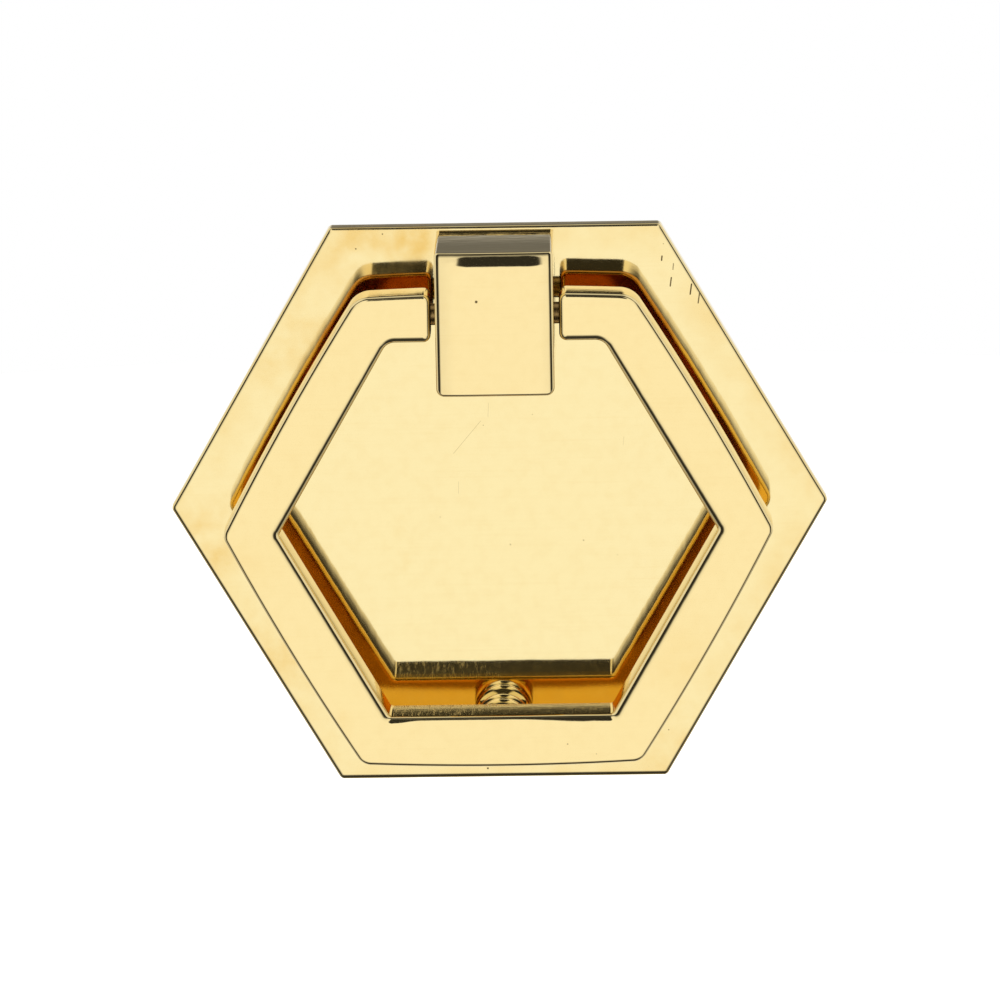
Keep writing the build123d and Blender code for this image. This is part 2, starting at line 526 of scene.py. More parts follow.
class Wires:
    """Adds nodes to one node tree and links them."""

    # Numbers of a Mix node's sockets that carry colours.
    MIX_FIRST = 6
    MIX_SECOND = 7
    MIX_RESULT = 2

    def __init__(self, tree: NodeTree) -> None:
        """Keeps the tree that the nodes go into."""
        self.tree = tree

    def node(self, kind: str, **settings: object) -> Node:
        """Adds a node.

        Args:
            kind: The node's type name.
            settings: Properties to set on it.

        Returns:
            The node.
        """
        made = self.tree.nodes.new(kind)
        for name, value in settings.items():
            setattr(made, name, value)
        return made

    def feed(self, socket: NodeSocket, source: object) -> None:
        """Links a socket to another, or sets its value.

        Args:
            socket: Input to feed.
            source: An output socket, or a plain value.
        """
        if isinstance(source, NodeSocket):
            self.tree.links.new(source, socket)
        else:
            socket.default_value = source

    def feed_all(self, node: Node, **sources: object) -> NodeSocket:
        """Feeds several inputs of a node by their names, with _ for a space.

        Args:
            node: The node.
            sources: What each input gets.

        Returns:
            The node's first output.
        """
        for name, source in sources.items():
            self.feed(node.inputs[name.replace("_", " ")], source)
        return node.outputs[0]

    def math(self, operation: str, *values: object) -> NodeSocket:
        """Adds a Math node.

        Args:
            operation: What it does.
            values: Sockets or numbers, in the order of its inputs.

        Returns:
            Its output.
        """
        made = self.node("ShaderNodeMath", operation=operation)
        for socket, value in zip(made.inputs, values):
            self.feed(socket, value)
        return made.outputs[0]

    def vector_math(self, operation: str, first: object, second: object) -> Node:
        """Adds a Vector Math node.

        Args:
            operation: What it does.
            first: First vector.
            second: Second vector.

        Returns:
            The node.
        """
        made = self.node("ShaderNodeVectorMath", operation=operation)
        self.feed(made.inputs[0], first)
        self.feed(made.inputs[1], second)
        return made

    def dot(self, vector: NodeSocket, direction: Vector) -> NodeSocket:
        """Length of a vector along a fixed direction."""
        return self.vector_math("DOT_PRODUCT", vector, tuple(direction)).outputs["Value"]

    def parts(self, vector: NodeSocket) -> tuple[NodeSocket, ...]:
        """Takes a vector apart.

        Args:
            vector: The vector.

        Returns:
            Its X, Y and Z.
        """
        made = self.node("ShaderNodeSeparateXYZ")
        self.feed(made.inputs[0], vector)
        return tuple(made.outputs)

    def length(self, first: NodeSocket, second: NodeSocket) -> NodeSocket:
        """Length of a vector in a plane, from its two parts."""
        squares = self.math("MULTIPLY_ADD", first, first, self.math("MULTIPLY", second, second))
        return self.math("SQRT", squares)

    def ramp(self, value: object, low: object, high: object, at_low: object, at_high: object) -> NodeSocket:
        """Smooth step from one level to another, while a value goes from low to high."""
        made = self.node("ShaderNodeMapRange", interpolation_type="SMOOTHSTEP")
        return self.feed_all(made, Value=value, From_Min=low, From_Max=high, To_Min=at_low, To_Max=at_high)

    def mix(self, factor: object, first: object, second: object) -> NodeSocket:
        """Adds a mix of two colours.

        Args:
            factor: Share of the second colour.
            first: First colour or socket.
            second: Second colour or socket.

        Returns:
            The mixed colour.
        """
        made = self.node("ShaderNodeMix", data_type="RGBA")
        self.feed(made.inputs[0], factor)
        self.feed(made.inputs[self.MIX_FIRST], first)
        self.feed(made.inputs[self.MIX_SECOND], second)
        return made.outputs[self.MIX_RESULT]

    def noise(self, vector: object, scale: object, detail: float) -> NodeSocket:
        """Adds cloudy noise."""
        made = self.node("ShaderNodeTexNoise")
        return self.feed_all(made, Vector=vector, Scale=scale, Detail=detail)

    def streaks(self, vector: NodeSocket, pattern: Streaks) -> list[NodeSocket]:
        """Adds noise that is drawn out into streaks.

        Args:
            vector: Where the noise is read.
            pattern: The streaks.

        Returns:
            The noise for each of the streaks' directions.
        """
        found = []
        for lean in pattern.leans:
            drawn = self.node("ShaderNodeMapping")
            turn = (0.0, math.radians(lean), 0.0)
            spot = self.feed_all(drawn, Vector=vector, Rotation=turn, Scale=pattern.stretch)
            found.append(self.noise(spot, 1.0, pattern.detail))
        return found

    def group(self, tree: NodeTree, **sources: object) -> NodeSocket:
        """Places a node group, feeds its inputs by their names and gives its output."""
        return self.feed_all(self.node("ShaderNodeGroup", node_tree=tree), **sources)


# A started group: its wires, its input sockets by name, and the socket that its result goes to.
Started = tuple[Wires, dict[str, NodeSocket], NodeSocket]


def start_group(name: str, kind: str, inputs: Iterable[tuple[str, str]], output: tuple[str, str]) -> Started:
    """Starts a node group.

    Args:
        name: Name of the group.
        kind: Type of its tree.
        inputs: Name and kind of each input.
        output: Name and kind of its output.

    Returns:
        The started group.
    """
    tree = bpy.data.node_groups.new(name, kind)
    for title, value in inputs:
        tree.interface.new_socket(title, in_out="INPUT", socket_type="NodeSocket" + value)
    tree.interface.new_socket(output[0], in_out="OUTPUT", socket_type="NodeSocket" + output[1])
    wires = Wires(tree)
    given = {socket.name: socket for socket in wires.node("NodeGroupInput").outputs if socket.name}
    return wires, given, wires.node("NodeGroupOutput").inputs[0]


def opaque(colour: Sequence[float]) -> tuple[float, float, float, float]:
    """A colour with full alpha."""
    return (colour[0], colour[1], colour[2], 1.0)


@dataclass(frozen=True)
class Streaks:
    """Fine lines that a tool leaves.

    Attributes:
        leans: Directions of the lines, turned about Y.
        stretch: How fine they are along each axis.
        detail: How much finer noise lies in them.
    """

    leans: tuple[float, ...]
    stretch: Triple
    detail: float = 2.0


@dataclass
class SurfaceEffects:
    """Shader node groups that several of the brass finishes share, and how fine their patterns are.

    Attributes:
        wave_detail: How much finer noise lies in the slow waves.
        buffed: Buffing lines in a front face.
        filed: Filing lines along the walls.
        stain_detail: How much finer noise lies in the tarnish.
        pit_core: Share of a pit's radius that is darkest.
        grain_detail: How much finer noise lies in the haze.
        grain_levels: Levels of the noise between which the haze comes up.
        hairs: Hair lines in the haze.
        hair_levels: Levels of the noise between which a hair line comes up.
        mark_core: Share of a mark's half width that is darkest.
    """

    wave_detail: float = 1.0
    buffed: Streaks = Streaks((4.0, 82.0), (90.0, 200.0, 2600.0))
    filed: Streaks = Streaks((0.0,), (450.0, 1300.0, 150.0))
    stain_detail: float = 5.0
    pit_core: float = 0.5
    grain_detail: float = 6.0
    grain_levels: tuple[float, float] = (0.35, 0.8)
    hairs: Streaks = Streaks((3.0, 38.0, 88.0), (60.0, 60.0, 3800.0), 3.0)
    hair_levels: tuple[float, float] = (0.56, 0.72)
    mark_core: float = 0.4

    def __post_init__(self) -> None:
        """Builds each group once."""
        self.buffing = self.make_buffing()
        self.stain = self.make_stain()
        self.pitting = self.make_pitting()
        self.haze = self.make_haze()
        self.mark = self.make_mark()

    @staticmethod
    def start(name: str, numbers: Sequence[str], output: str) -> Started:
        """Starts a group that reads a vector and some numbers, and gives a number."""
        inputs = (("Vector", "Vector"), *[(title, "Float") for title in numbers])
        return start_group(name, "ShaderNodeTree", inputs, (output, "Float"))

    def make_buffing(self) -> NodeTree:
        """Height left by the buffing wheel: slow waves, and fine lines that cross each other.

        Returns:
            The group.
        """
        names = ("Wave Scale", "Wave Height", "Line Height", "Wall Height")
        wires, given, result = self.start("buffing", names, "Height")
        waves = wires.noise(given["Vector"], given["Wave Scale"], self.wave_detail)
        height = wires.math("MULTIPLY", waves, given["Wave Height"])
        for pattern, name in ((self.buffed, "Line Height"), (self.filed, "Wall Height")):
            for lines in wires.streaks(given["Vector"], pattern):
                height = wires.math("MULTIPLY_ADD", lines, given[name], height)
        wires.feed(result, height)
        return wires.tree

    def make_stain(self) -> NodeTree:
        """Cloudy patches of tarnish.

        Returns:
            The group.
        """
        wires, given, result = self.start("stain", ("Scale", "Coverage", "Softness"), "Mask")
        cloud = wires.noise(given["Vector"], given["Scale"], self.stain_detail)
        low = wires.math("SUBTRACT", 1.0, given["Coverage"])
        wires.feed(result, wires.ramp(cloud, low, wires.math("ADD", low, given["Softness"]), 0.0, 1.0))
        return wires.tree

    def make_pitting(self) -> NodeTree:
        """Small round pits, in a share of the cells of a scattered pattern.

        Returns:
            The group.
        """
        wires, given, result = self.start("pitting", ("Scale", "Size", "Share"), "Mask")
        cells = wires.node("ShaderNodeTexVoronoi")
        wires.feed_all(cells, Vector=given["Vector"], Scale=given["Scale"])
        draw = wires.node("ShaderNodeSeparateColor")
        wires.feed(draw.inputs[0], cells.outputs["Color"])
        chosen = wires.math("LESS_THAN", draw.outputs[0], given["Share"])
        size = wires.math("MULTIPLY", given["Size"], draw.outputs[1])
        core = wires.math("MULTIPLY", size, self.pit_core)
        dot = wires.ramp(cells.outputs["Distance"], core, size, 1.0, 0.0)
        wires.feed(result, wires.math("MULTIPLY", dot, chosen))
        return wires.tree

    def make_haze(self) -> NodeTree:
        """Fine haze of wiped polish: a grain, and hair lines that cross each other.

        Returns:
            The group.
        """
        wires, given, result = self.start("haze", ("Grain Scale", "Line Share"), "Mask")
        grain = wires.noise(given["Vector"], given["Grain Scale"], self.grain_detail)
        mask = wires.ramp(grain, *self.grain_levels, 0.0, 1.0)
        for hairs in wires.streaks(given["Vector"], self.hairs):
            lines = wires.ramp(hairs, *self.hair_levels, 0.0, 1.0)
            mask = wires.math("MULTIPLY_ADD", lines, given["Line Share"], mask)
        wires.feed(result, mask)
        return wires.tree

    def make_mark(self) -> NodeTree:
        """One mark in the front: a short line with round ends, or a dot where it has no length.

        Returns:
            The group.
        """
        names = ("Across", "Height", "Lean", "Half Length", "Half Width")
        wires, given, result = self.start("mark", names, "Mask")
        across, _, height = wires.parts(given["Vector"])
        aside = wires.math("SUBTRACT", across, given["Across"])
        above = wires.math("SUBTRACT", height, given["Height"])
        lean = wires.math("RADIANS", given["Lean"])
        sine = wires.math("SINE", lean)
        cosine = wires.math("COSINE", lean)
        along = wires.math("MULTIPLY_ADD", above, cosine, wires.math("MULTIPLY", aside, sine))
        drift = wires.math("MULTIPLY", above, sine)
        off = wires.math("SUBTRACT", wires.math("MULTIPLY", aside, cosine), drift)
        past = wires.math("SUBTRACT", wires.math("ABSOLUTE", along), given["Half Length"])
        distance = wires.length(wires.math("MAXIMUM", past, 0.0), off)
        core = wires.math("MULTIPLY", given["Half Width"], self.mark_core)
        wires.feed(result, wires.ramp(distance, core, given["Half Width"], 1.0, 0.0))
        return wires.tree


@dataclass(frozen=True)
class Mark:
    """A scratch, pit or spot on a front face, at its place in the frame.

    Attributes:
        across: Place along X.
        height: Place along Z.
        half_width: Half its width, or its radius.
        half_length: Half the length of its straight part.
        lean: Lean from upright, positive to the right.
        depth: How dark it is, 1 is black.
    """

    across: float
    height: float
    half_width: float
    half_length: float = 0.0
    lean: float = 0.0
    depth: float = 0.8


@dataclass(frozen=True)
class Cloud:
    """A tarnished patch of a front face.

    Attributes:
        across: Place of its middle along X.
        height: Place of its middle along Z.
        reach: Distance from the middle at which it ends.
        share: How strong the tarnish is in its middle.
        core: Share of the reach over which it is that strong.
    """

    across: float
    height: float
    reach: float
    share: float
    core: float = 0.25


@dataclass(frozen=True)
class HingeShade:
    """Painted shade on the walls that face each other across the hinge gap.

    Attributes:
        axis: A point on the hinge's axis.
        inner: Distance from the middle at which the shaded walls start.
        outer: Distance from the middle at which they end.
        reach: How far the painted shade reaches from the axis.
        softness: Width of its soft end.
    """

    axis: Triple
    inner: float
    outer: float
    reach: float = 4.6 * MM
    softness: float = 1.5 * MM

    def mask(self, wires: Wires, place: NodeSocket) -> NodeSocket:
        """How strongly the painted shade covers a place.

        Args:
            wires: The material's tree.
            place: Object coordinates.

        Returns:
            The share of painted shade.
        """
        across, depth, height = wires.parts(wires.vector_math("SUBTRACT", place, self.axis).outputs[0])
        aside = wires.math("ABSOLUTE", across)
        middle = (self.inner + self.outer) / 2.0
        between = wires.math("COMPARE", aside, middle, (self.outer - self.inner) / 2.0)
        distance = wires.length(height, depth)
        near = wires.ramp(distance, self.reach - self.softness, self.reach, 1.0, 0.0)
        return wires.math("MULTIPLY", near, between)


@dataclass(frozen=True)
class BrassFinish:
    """Polished brass with buffing lines, tarnish, pits and single marks.

    Attributes:
        slot: The record's slot, which also names the material.
        colour: Base colour of the clean metal, linear.
        roughness: Roughness of the clean metal.
        wave_height: Height of the slow waves in the polish.
        line_height: Height of the fine buffing lines.
        wall_height: Height of the filing lines along the walls.
        coverage: How much of the surface the faint tarnish covers.
        tarnish: Colour of the tarnish.
        tarnish_share: How strong the faint tarnish is at most.
        tarnish_roughness: Roughness that full tarnish adds.
        haze_share: Strength of the haze of wiped polish.
        hair_share: Strength of the hair lines in it.
        pit_size: Largest radius of a pit, in cells.
        pit_share: Share of the cells that hold a pit.
        pit_and_shade_colour: Colour of pits and marks, and of the painted shade in the hinge.
        pit_roughness: Roughness that they add.
        patch_scale: Scale of the flecks in the clouds.
        patch_coverage: How much of a cloud the flecks cover.
        patch_softness: How softly the flecks end.
        clouds: Tarnished patches of the front.
        marks: Single marks on the front.
        front_limit: Marks, and pits beside them, show in front of this Y, and clouds lie round it.
        hinge_shade: Painted shade in the hinge gap, if any.
    """

    slot: Slot
    colour: Triple
    roughness: float = 0.05
    wave_height: float = 2.0 * MICRON
    line_height: float = 0.12 * MICRON
    wall_height: float = 9.0 * MICRON
    wave_scale: float = 160.0
    stain_scale: float = 130.0
    stain_softness: float = 0.22
    coverage: float = 0.36
    tarnish: Triple = (0.83, 0.53, 0.13)
    tarnish_share: float = 0.35
    tarnish_roughness: float = 0.1
    haze_share: float = 0.16
    haze_colour: Triple = (0.84, 0.62, 0.26)
    grain_scale: float = 700.0
    hair_share: float = 0.35
    pit_scale: float = 420.0
    pit_size: float = 0.055
    pit_share: float = 0.1
    pit_and_shade_colour: Triple = (0.14, 0.09, 0.03)
    pit_roughness: float = 0.4
    patch_scale: float = 260.0
    patch_coverage: float = 0.8
    patch_softness: float = 0.7
    clouds: tuple[Cloud, ...] = ()
    marks: tuple[Mark, ...] = ()
    front_limit: float = 0.0
    hinge_shade: HingeShade | None = None

    def gathered(self, wires: Wires, place: NodeSocket) -> NodeSocket | None:
        """How strongly tarnish gathers at a place.

        Args:
            wires: The material's tree.
            place: Object coordinates.

        Returns:
            The strength, or nothing where the finish has no clouds.
        """
        found = None
        for cloud in self.clouds:
            middle = (cloud.across, self.front_limit, cloud.height)
            distance = wires.vector_math("DISTANCE", place, middle).outputs["Value"]
            near = wires.ramp(distance, cloud.reach * cloud.core, cloud.reach, cloud.share, 0.0)
            found = wires.math("MAXIMUM", found, near) if found else near
        return found

    def tarnished(self, wires: Wires, effects: SurfaceEffects, place: NodeSocket) -> NodeSocket:
        """How much tarnish lies at a place.

        Args:
            wires: The material's tree.
            effects: Shared effects.
            place: Object coordinates.

        Returns:
            The share of tarnish.
        """
        spread_out = {"Scale": self.stain_scale, "Coverage": self.coverage, "Softness": self.stain_softness}
        stain = wires.group(effects.stain, Vector=place, **spread_out)
        faint = wires.math("MULTIPLY", stain, self.tarnish_share)
        strength = self.gathered(wires, place)
        if not strength:
            return faint
        patchy = {"Scale": self.patch_scale, "Coverage": self.patch_coverage, "Softness": self.patch_softness}
        flecks = wires.group(effects.stain, Vector=place, **patchy)
        patches = wires.math("MULTIPLY", flecks, strength)
        return wires.math("MINIMUM", wires.math("MAXIMUM", patches, faint), 1.0)

    def darkened(self, wires: Wires, effects: SurfaceEffects, place: NodeSocket) -> NodeSocket:
        """How dark the pits, the marks and the painted hinge shade make a place.

        Args:
            wires: The material's tree.
            effects: Shared effects.
            place: Object coordinates.

        Returns:
            The share of the pit and shade colour.
        """
        pits = {"Scale": self.pit_scale, "Size": self.pit_size, "Share": self.pit_share}
        dark = wires.group(effects.pitting, Vector=place, **pits)
        for mark in self.marks:
            seen = wires.group(
                effects.mark,
                Vector=place,
                Across=mark.across,
                Height=mark.height,
                Lean=mark.lean,
                Half_Length=mark.half_length,
                Half_Width=mark.half_width,
            )
            dark = wires.math("MAXIMUM", dark, wires.math("MULTIPLY", seen, mark.depth))
        if self.marks:
            _, depth, _ = wires.parts(place)
            in_front = wires.math("LESS_THAN", depth, self.front_limit)
            dark = wires.math("MULTIPLY", dark, in_front)
        # Painted shade: darkens the walls that face each other across the hinge gap.
        if self.hinge_shade:
            dark = wires.math("MAXIMUM", dark, self.hinge_shade.mask(wires, place))
        return dark

    def clean_colour(self, wires: Wires, place: NodeSocket) -> object:
        """Colour of the clean metal at a place."""
        return opaque(self.colour)

    def clean_roughness(self, wires: Wires, place: NodeSocket) -> object:
        """Roughness of the clean metal at a place."""
        return self.roughness

    def material(self, effects: SurfaceEffects) -> Material:
        """Builds the material.

        Args:
            effects: Shared effects.

        Returns:
            The material.
        """
        made = bpy.data.materials.new(self.slot.value)
        made.use_nodes = True
        wires = Wires(made.node_tree)
        surface = made.node_tree.nodes["Principled BSDF"]
        place = wires.node("ShaderNodeTexCoord").outputs["Object"]
        stain = self.tarnished(wires, effects, place)
        dark = self.darkened(wires, effects, place)
        grain = {"Grain_Scale": self.grain_scale, "Line_Share": self.hair_share}
        hazed = wires.math("MULTIPLY", wires.group(effects.haze, Vector=place, **grain), self.haze_share)
        wiped = wires.mix(hazed, self.clean_colour(wires, place), opaque(self.haze_colour))
        colour = wires.mix(stain, wiped, opaque(self.tarnish))
        wires.feed(surface.inputs["Base Color"], wires.mix(dark, colour, opaque(self.pit_and_shade_colour)))
        clean = self.clean_roughness(wires, place)
        dulled = wires.math("MULTIPLY_ADD", stain, self.tarnish_roughness, clean)
        wires.feed(surface.inputs["Roughness"], wires.math("MULTIPLY_ADD", dark, self.pit_roughness, dulled))
        surface.inputs["Metallic"].default_value = 1.0
        height = wires.group(
            effects.buffing,
            Vector=place,
            Wave_Scale=self.wave_scale,
            Wave_Height=self.wave_height,
            Line_Height=self.line_height,
            Wall_Height=self.wall_height,
        )
        bump = wires.node("ShaderNodeBump")
        bump.inputs["Distance"].default_value = 1.0
        wires.feed(bump.inputs["Height"], height)
        wires.feed(surface.inputs["Normal"], bump.outputs["Normal"])
        return made


@dataclass(frozen=True)
class PlateBrass(BrassFinish):
    """Brass of the plate, where tarnish also gathers along the rim.

    Attributes:
        middle: Height of the plate's middle.
        apothem: Distance from its middle to a side.
        rim_width: How far in from the rim the tarnish reaches.
        rim_share: How strong it is at the rim.
    """

    middle: float = 0.0
    apothem: float = 1.0
    rim_width: float = 5.0 * MM
    rim_share: float = 0.42

    def gathered(self, wires: Wires, place: NodeSocket) -> NodeSocket | None:
        """How strongly tarnish gathers at a place: along the rim, and in the clouds.

        Args:
            wires: The material's tree.
            place: Object coordinates.

        Returns:
            The strength.
        """
        centred = wires.vector_math("SUBTRACT", place, (0.0, 0.0, self.middle)).outputs[0]
        reach: object = 0.0
        for side in range(HEXAGON_SIDES // 2):
            along = wires.dot(centred, stood(ray(QUARTER_TURN + SIDE_TURN * side)))
            reach = wires.math("MAXIMUM", reach, wires.math("ABSOLUTE", along))
        rim = wires.ramp(reach, self.apothem - self.rim_width, self.apothem, 0.0, self.rim_share)
        clouds = super().gathered(wires, place)
        return wires.math("MAXIMUM", rim, clouds) if clouds else rim


@dataclass(frozen=True)
class RingBrass(BrassFinish):
    """Brass of the ring, whose back is duller and carries painted shade, darkest behind the top bar.

    Attributes:
        hinge: Middle of the hinge.
        facing: Direction that the ring's back looks away from.
        dull_shade_depth: How far behind the hinge the back starts, with its duller polish and painted shade.
        dull_shade_width: Over what depth it comes up.
        top_shade_colour: Painted shade colour of the back behind the top bar.
        top_shade_start: How far below the hinge the painted shade starts to darken.
        top_shade_full: How far below the hinge it is darkest.
        sill_level: Height of the wall over the bottom bar, from the hinge, in the ring's plane.
        sill_reach: Half the height of the scuffed band round that wall.
        sill_half: Half the length of that wall.
        sill_front: How far in front of the hinge the scuffs end.
        sill_roughness: Roughness that wear adds all along that wall.
        scuffs: Scuffs across that wall.
        scuff_start: Level of the noise at which a scuff starts.
        scuff_full: Level of the noise at which it is full.
        scuff_roughness: Roughness that a scuff adds at the wall's left end.
        scuff_left: Place across at which the scuffs start to thin out.
        scuff_right: Place across from which they are thinnest.
        scuff_right_roughness: Roughness that a scuff adds from there on.
    """

    hinge: Triple = (0.0, 0.0, 0.0)
    facing: Triple = (0.0, -1.0, 0.0)
    dull_shade_depth: float = 2.0 * MM
    dull_shade_width: float = 0.6 * MM
    # Painted shade: the back's colour is darker and more orange than the front's, darker still behind the top
    # bar.
    back_shade_colour: Triple = (0.87, 0.55, 0.1)
    dull_roughness: float = 0.1
    top_shade_colour: Triple = (0.6, 0.27, 0.035)
    top_shade_start: float = 8.0 * MM
    top_shade_full: float = 4.0 * MM
    sill_level: float = -46.4 * MM
    sill_reach: float = 0.3 * MM
    sill_half: float = 12.5 * MM
    sill_front: float = 2.2 * MM
    sill_roughness: float = 0.08
    scuffs: Streaks = Streaks((0.0,), (8000.0, 400.0, 100.0))
    scuff_start: float = 0.52
    scuff_full: float = 0.72
    scuff_roughness: float = 0.28
    scuff_left: float = -7.0 * MM
    scuff_right: float = 1.0 * MM
    scuff_right_roughness: float = 0.09

    def scuffed(self, wires: Wires, place: NodeSocket) -> NodeSocket:
        """Roughness that wear adds to the wall over the bottom bar.

        Args:
            wires: The material's tree.
            place: Object coordinates.

        Returns:
            The roughness to add.
        """
        up = Vector(self.facing).cross(RIGHT)
        level = wires.math("SUBTRACT", wires.dot(place, up), Vector(self.hinge).dot(up))
        on_sill = wires.math("COMPARE", level, self.sill_level, self.sill_reach)
        across = wires.dot(place, RIGHT)
        along = wires.math("COMPARE", across, 0.0, self.sill_half)
        on_sill = wires.math("MULTIPLY", on_sill, along)
        behind_front = wires.math("GREATER_THAN", self.depth(wires, place), -self.sill_front)
        on_sill = wires.math("MULTIPLY", on_sill, behind_front)
        streaks = wires.streaks(place, self.scuffs)
        ticks = wires.ramp(streaks[0], self.scuff_start, self.scuff_full, 0.0, 1.0)
        ends = (self.scuff_roughness, self.scuff_right_roughness)
        added = wires.ramp(across, self.scuff_left, self.scuff_right, *ends)
        worn = wires.math("MULTIPLY_ADD", ticks, added, self.sill_roughness)
        return wires.math("MULTIPLY", on_sill, worn)

    def depth(self, wires: Wires, place: NodeSocket) -> NodeSocket:
        """How far a place lies behind the hinge."""
        facing = Vector(self.facing)
        return wires.math("SUBTRACT", Vector(self.hinge).dot(facing), wires.dot(place, facing))

    def behind(self, wires: Wires, place: NodeSocket) -> NodeSocket:
        """Share of the back at a place, 1 on the ring's back, where the polish is duller and the colour
        carries painted shade.
        """
        depth = self.depth(wires, place)
        return wires.ramp(depth, self.dull_shade_depth, self.dull_shade_depth + self.dull_shade_width, 0.0, 1.0)

    def clean_colour(self, wires: Wires, place: NodeSocket) -> object:
        """Colour of the clean metal at a place.

        Args:
            wires: The material's tree.
            place: Object coordinates.

        Returns:
            The colour, with painted shade on the back, darkest near the top.
        """
        below = wires.math("SUBTRACT", self.hinge[2], wires.dot(place, UP))
        near_top = wires.ramp(below, self.top_shade_full, self.top_shade_start, 1.0, 0.0)
        # Painted shade on the back, darker still behind the top bar.
        painted_back_shade = wires.mix(near_top, opaque(self.back_shade_colour), opaque(self.top_shade_colour))
        return wires.mix(self.behind(wires, place), opaque(self.colour), painted_back_shade)

    def clean_roughness(self, wires: Wires, place: NodeSocket) -> object:
        """Roughness of the clean metal at a place.

        Args:
            wires: The material's tree.
            place: Object coordinates.

        Returns:
            The roughness, more on the back and the worn wall.
        """
        added = self.dull_roughness - self.roughness
        plain = wires.math("MULTIPLY_ADD", self.behind(wires, place), added, self.roughness)
        return wires.math("ADD", plain, self.scuffed(wires, place))


def dress(piece: Object, finishes: dict[Slot, Material], body: Body, slot: Slot, node: str = "") -> None:
    """Gives a piece its finish, body and slot.

    Args:
        piece: The finished piece.
        finishes: The materials by slot.
        body: Body that it rides on.
        slot: The record's slot that its finish belongs to.
        node: CAD node that it stands for, if any.
    """
    piece.data.materials.clear()
    piece.data.materials.append(finishes[slot])
    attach(piece, body.value)
    if node:
        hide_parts(node)
    LOG.info("%s: %d faces on body %s", piece.name, len(piece.data.polygons), body.value)


def upright(origin: Vector, lean: float = 0.0) -> Matrix:
    """Placement of a plane that faces the front, with X right and Y up.

    Args:
        origin: Where its origin stands.
        lean: How far its top leans back, in degrees.

    Returns:
        The placement.
    """
    turn = ray(lean)
    rows = ((1.0, 0.0, 0.0), (0.0, turn.y, -turn.x), (0.0, turn.x, turn.y))
    return Matrix.Translation(origin) @ Matrix(rows).to_4x4()


def spokes(first: Vector, second: Vector, steps: int) -> list[Vector]:
    """Unit vectors evenly round a circle, from first towards second."""
    turns = [ray(angle) for angle in spread(0.0, FULL_TURN, steps)[:-1]]
    return [first * turn.x + second * turn.y for turn in turns]


def circle_at(centre: Vector, radius: float, first: Vector, second: Vector, steps: int) -> list[Vector]:
    """Points evenly round a circle, from the side of first towards second."""
    return [centre + spoke * radius for spoke in spokes(first, second, steps)]


def square_at(middle: Vector, side: float, corner_radius: float, steps: int) -> list[Vector]:
    """Points round an upright square with round corners.

    Args:
        middle: Its middle.
        side: Length of a side.
        corner_radius: Radius of its corners.
        steps: Runs in each corner.

    Returns:
        The points, to the left seen from the front.
    """
    found = []
    for corner in range(SQUARE_SIDES):
        angle = QUARTER_TURN * corner
        diagonal = ray(angle) + ray(angle + QUARTER_TURN)
        centre = diagonal * (side / 2.0 - corner_radius)
        for turn in spread(angle, angle + QUARTER_TURN, steps):
            found.append(middle + stood(centre + ray(turn) * corner_radius))
    return found


def square_normals(steps: int) -> list[Vector]:
    """Outward normals at the points of a square with round corners, in the order of the points."""
    starts = [QUARTER_TURN * corner for corner in range(SQUARE_SIDES)]
    return [stood(ray(turn)) for start in starts for turn in spread(start, start + QUARTER_TURN, steps)]


@dataclass
class Seats:
    """Where bracket and stud are let into the plate: sizes that plate and pieces share."""

    spigot_side: float = 9.0 * MM
    spigot_radius: float = 1.0 * MM
    shank_radius: float = 1.6 * MM
    tail_radius: float = 2.4 * MM
    clearance: float = 0.02 * MM
    corner_steps: int = 6
    round_steps: int = 48

    @property
    def tail_depth(self) -> float:
        """Depth of the riveted tail's cone."""
        return self.tail_radius - self.shank_radius


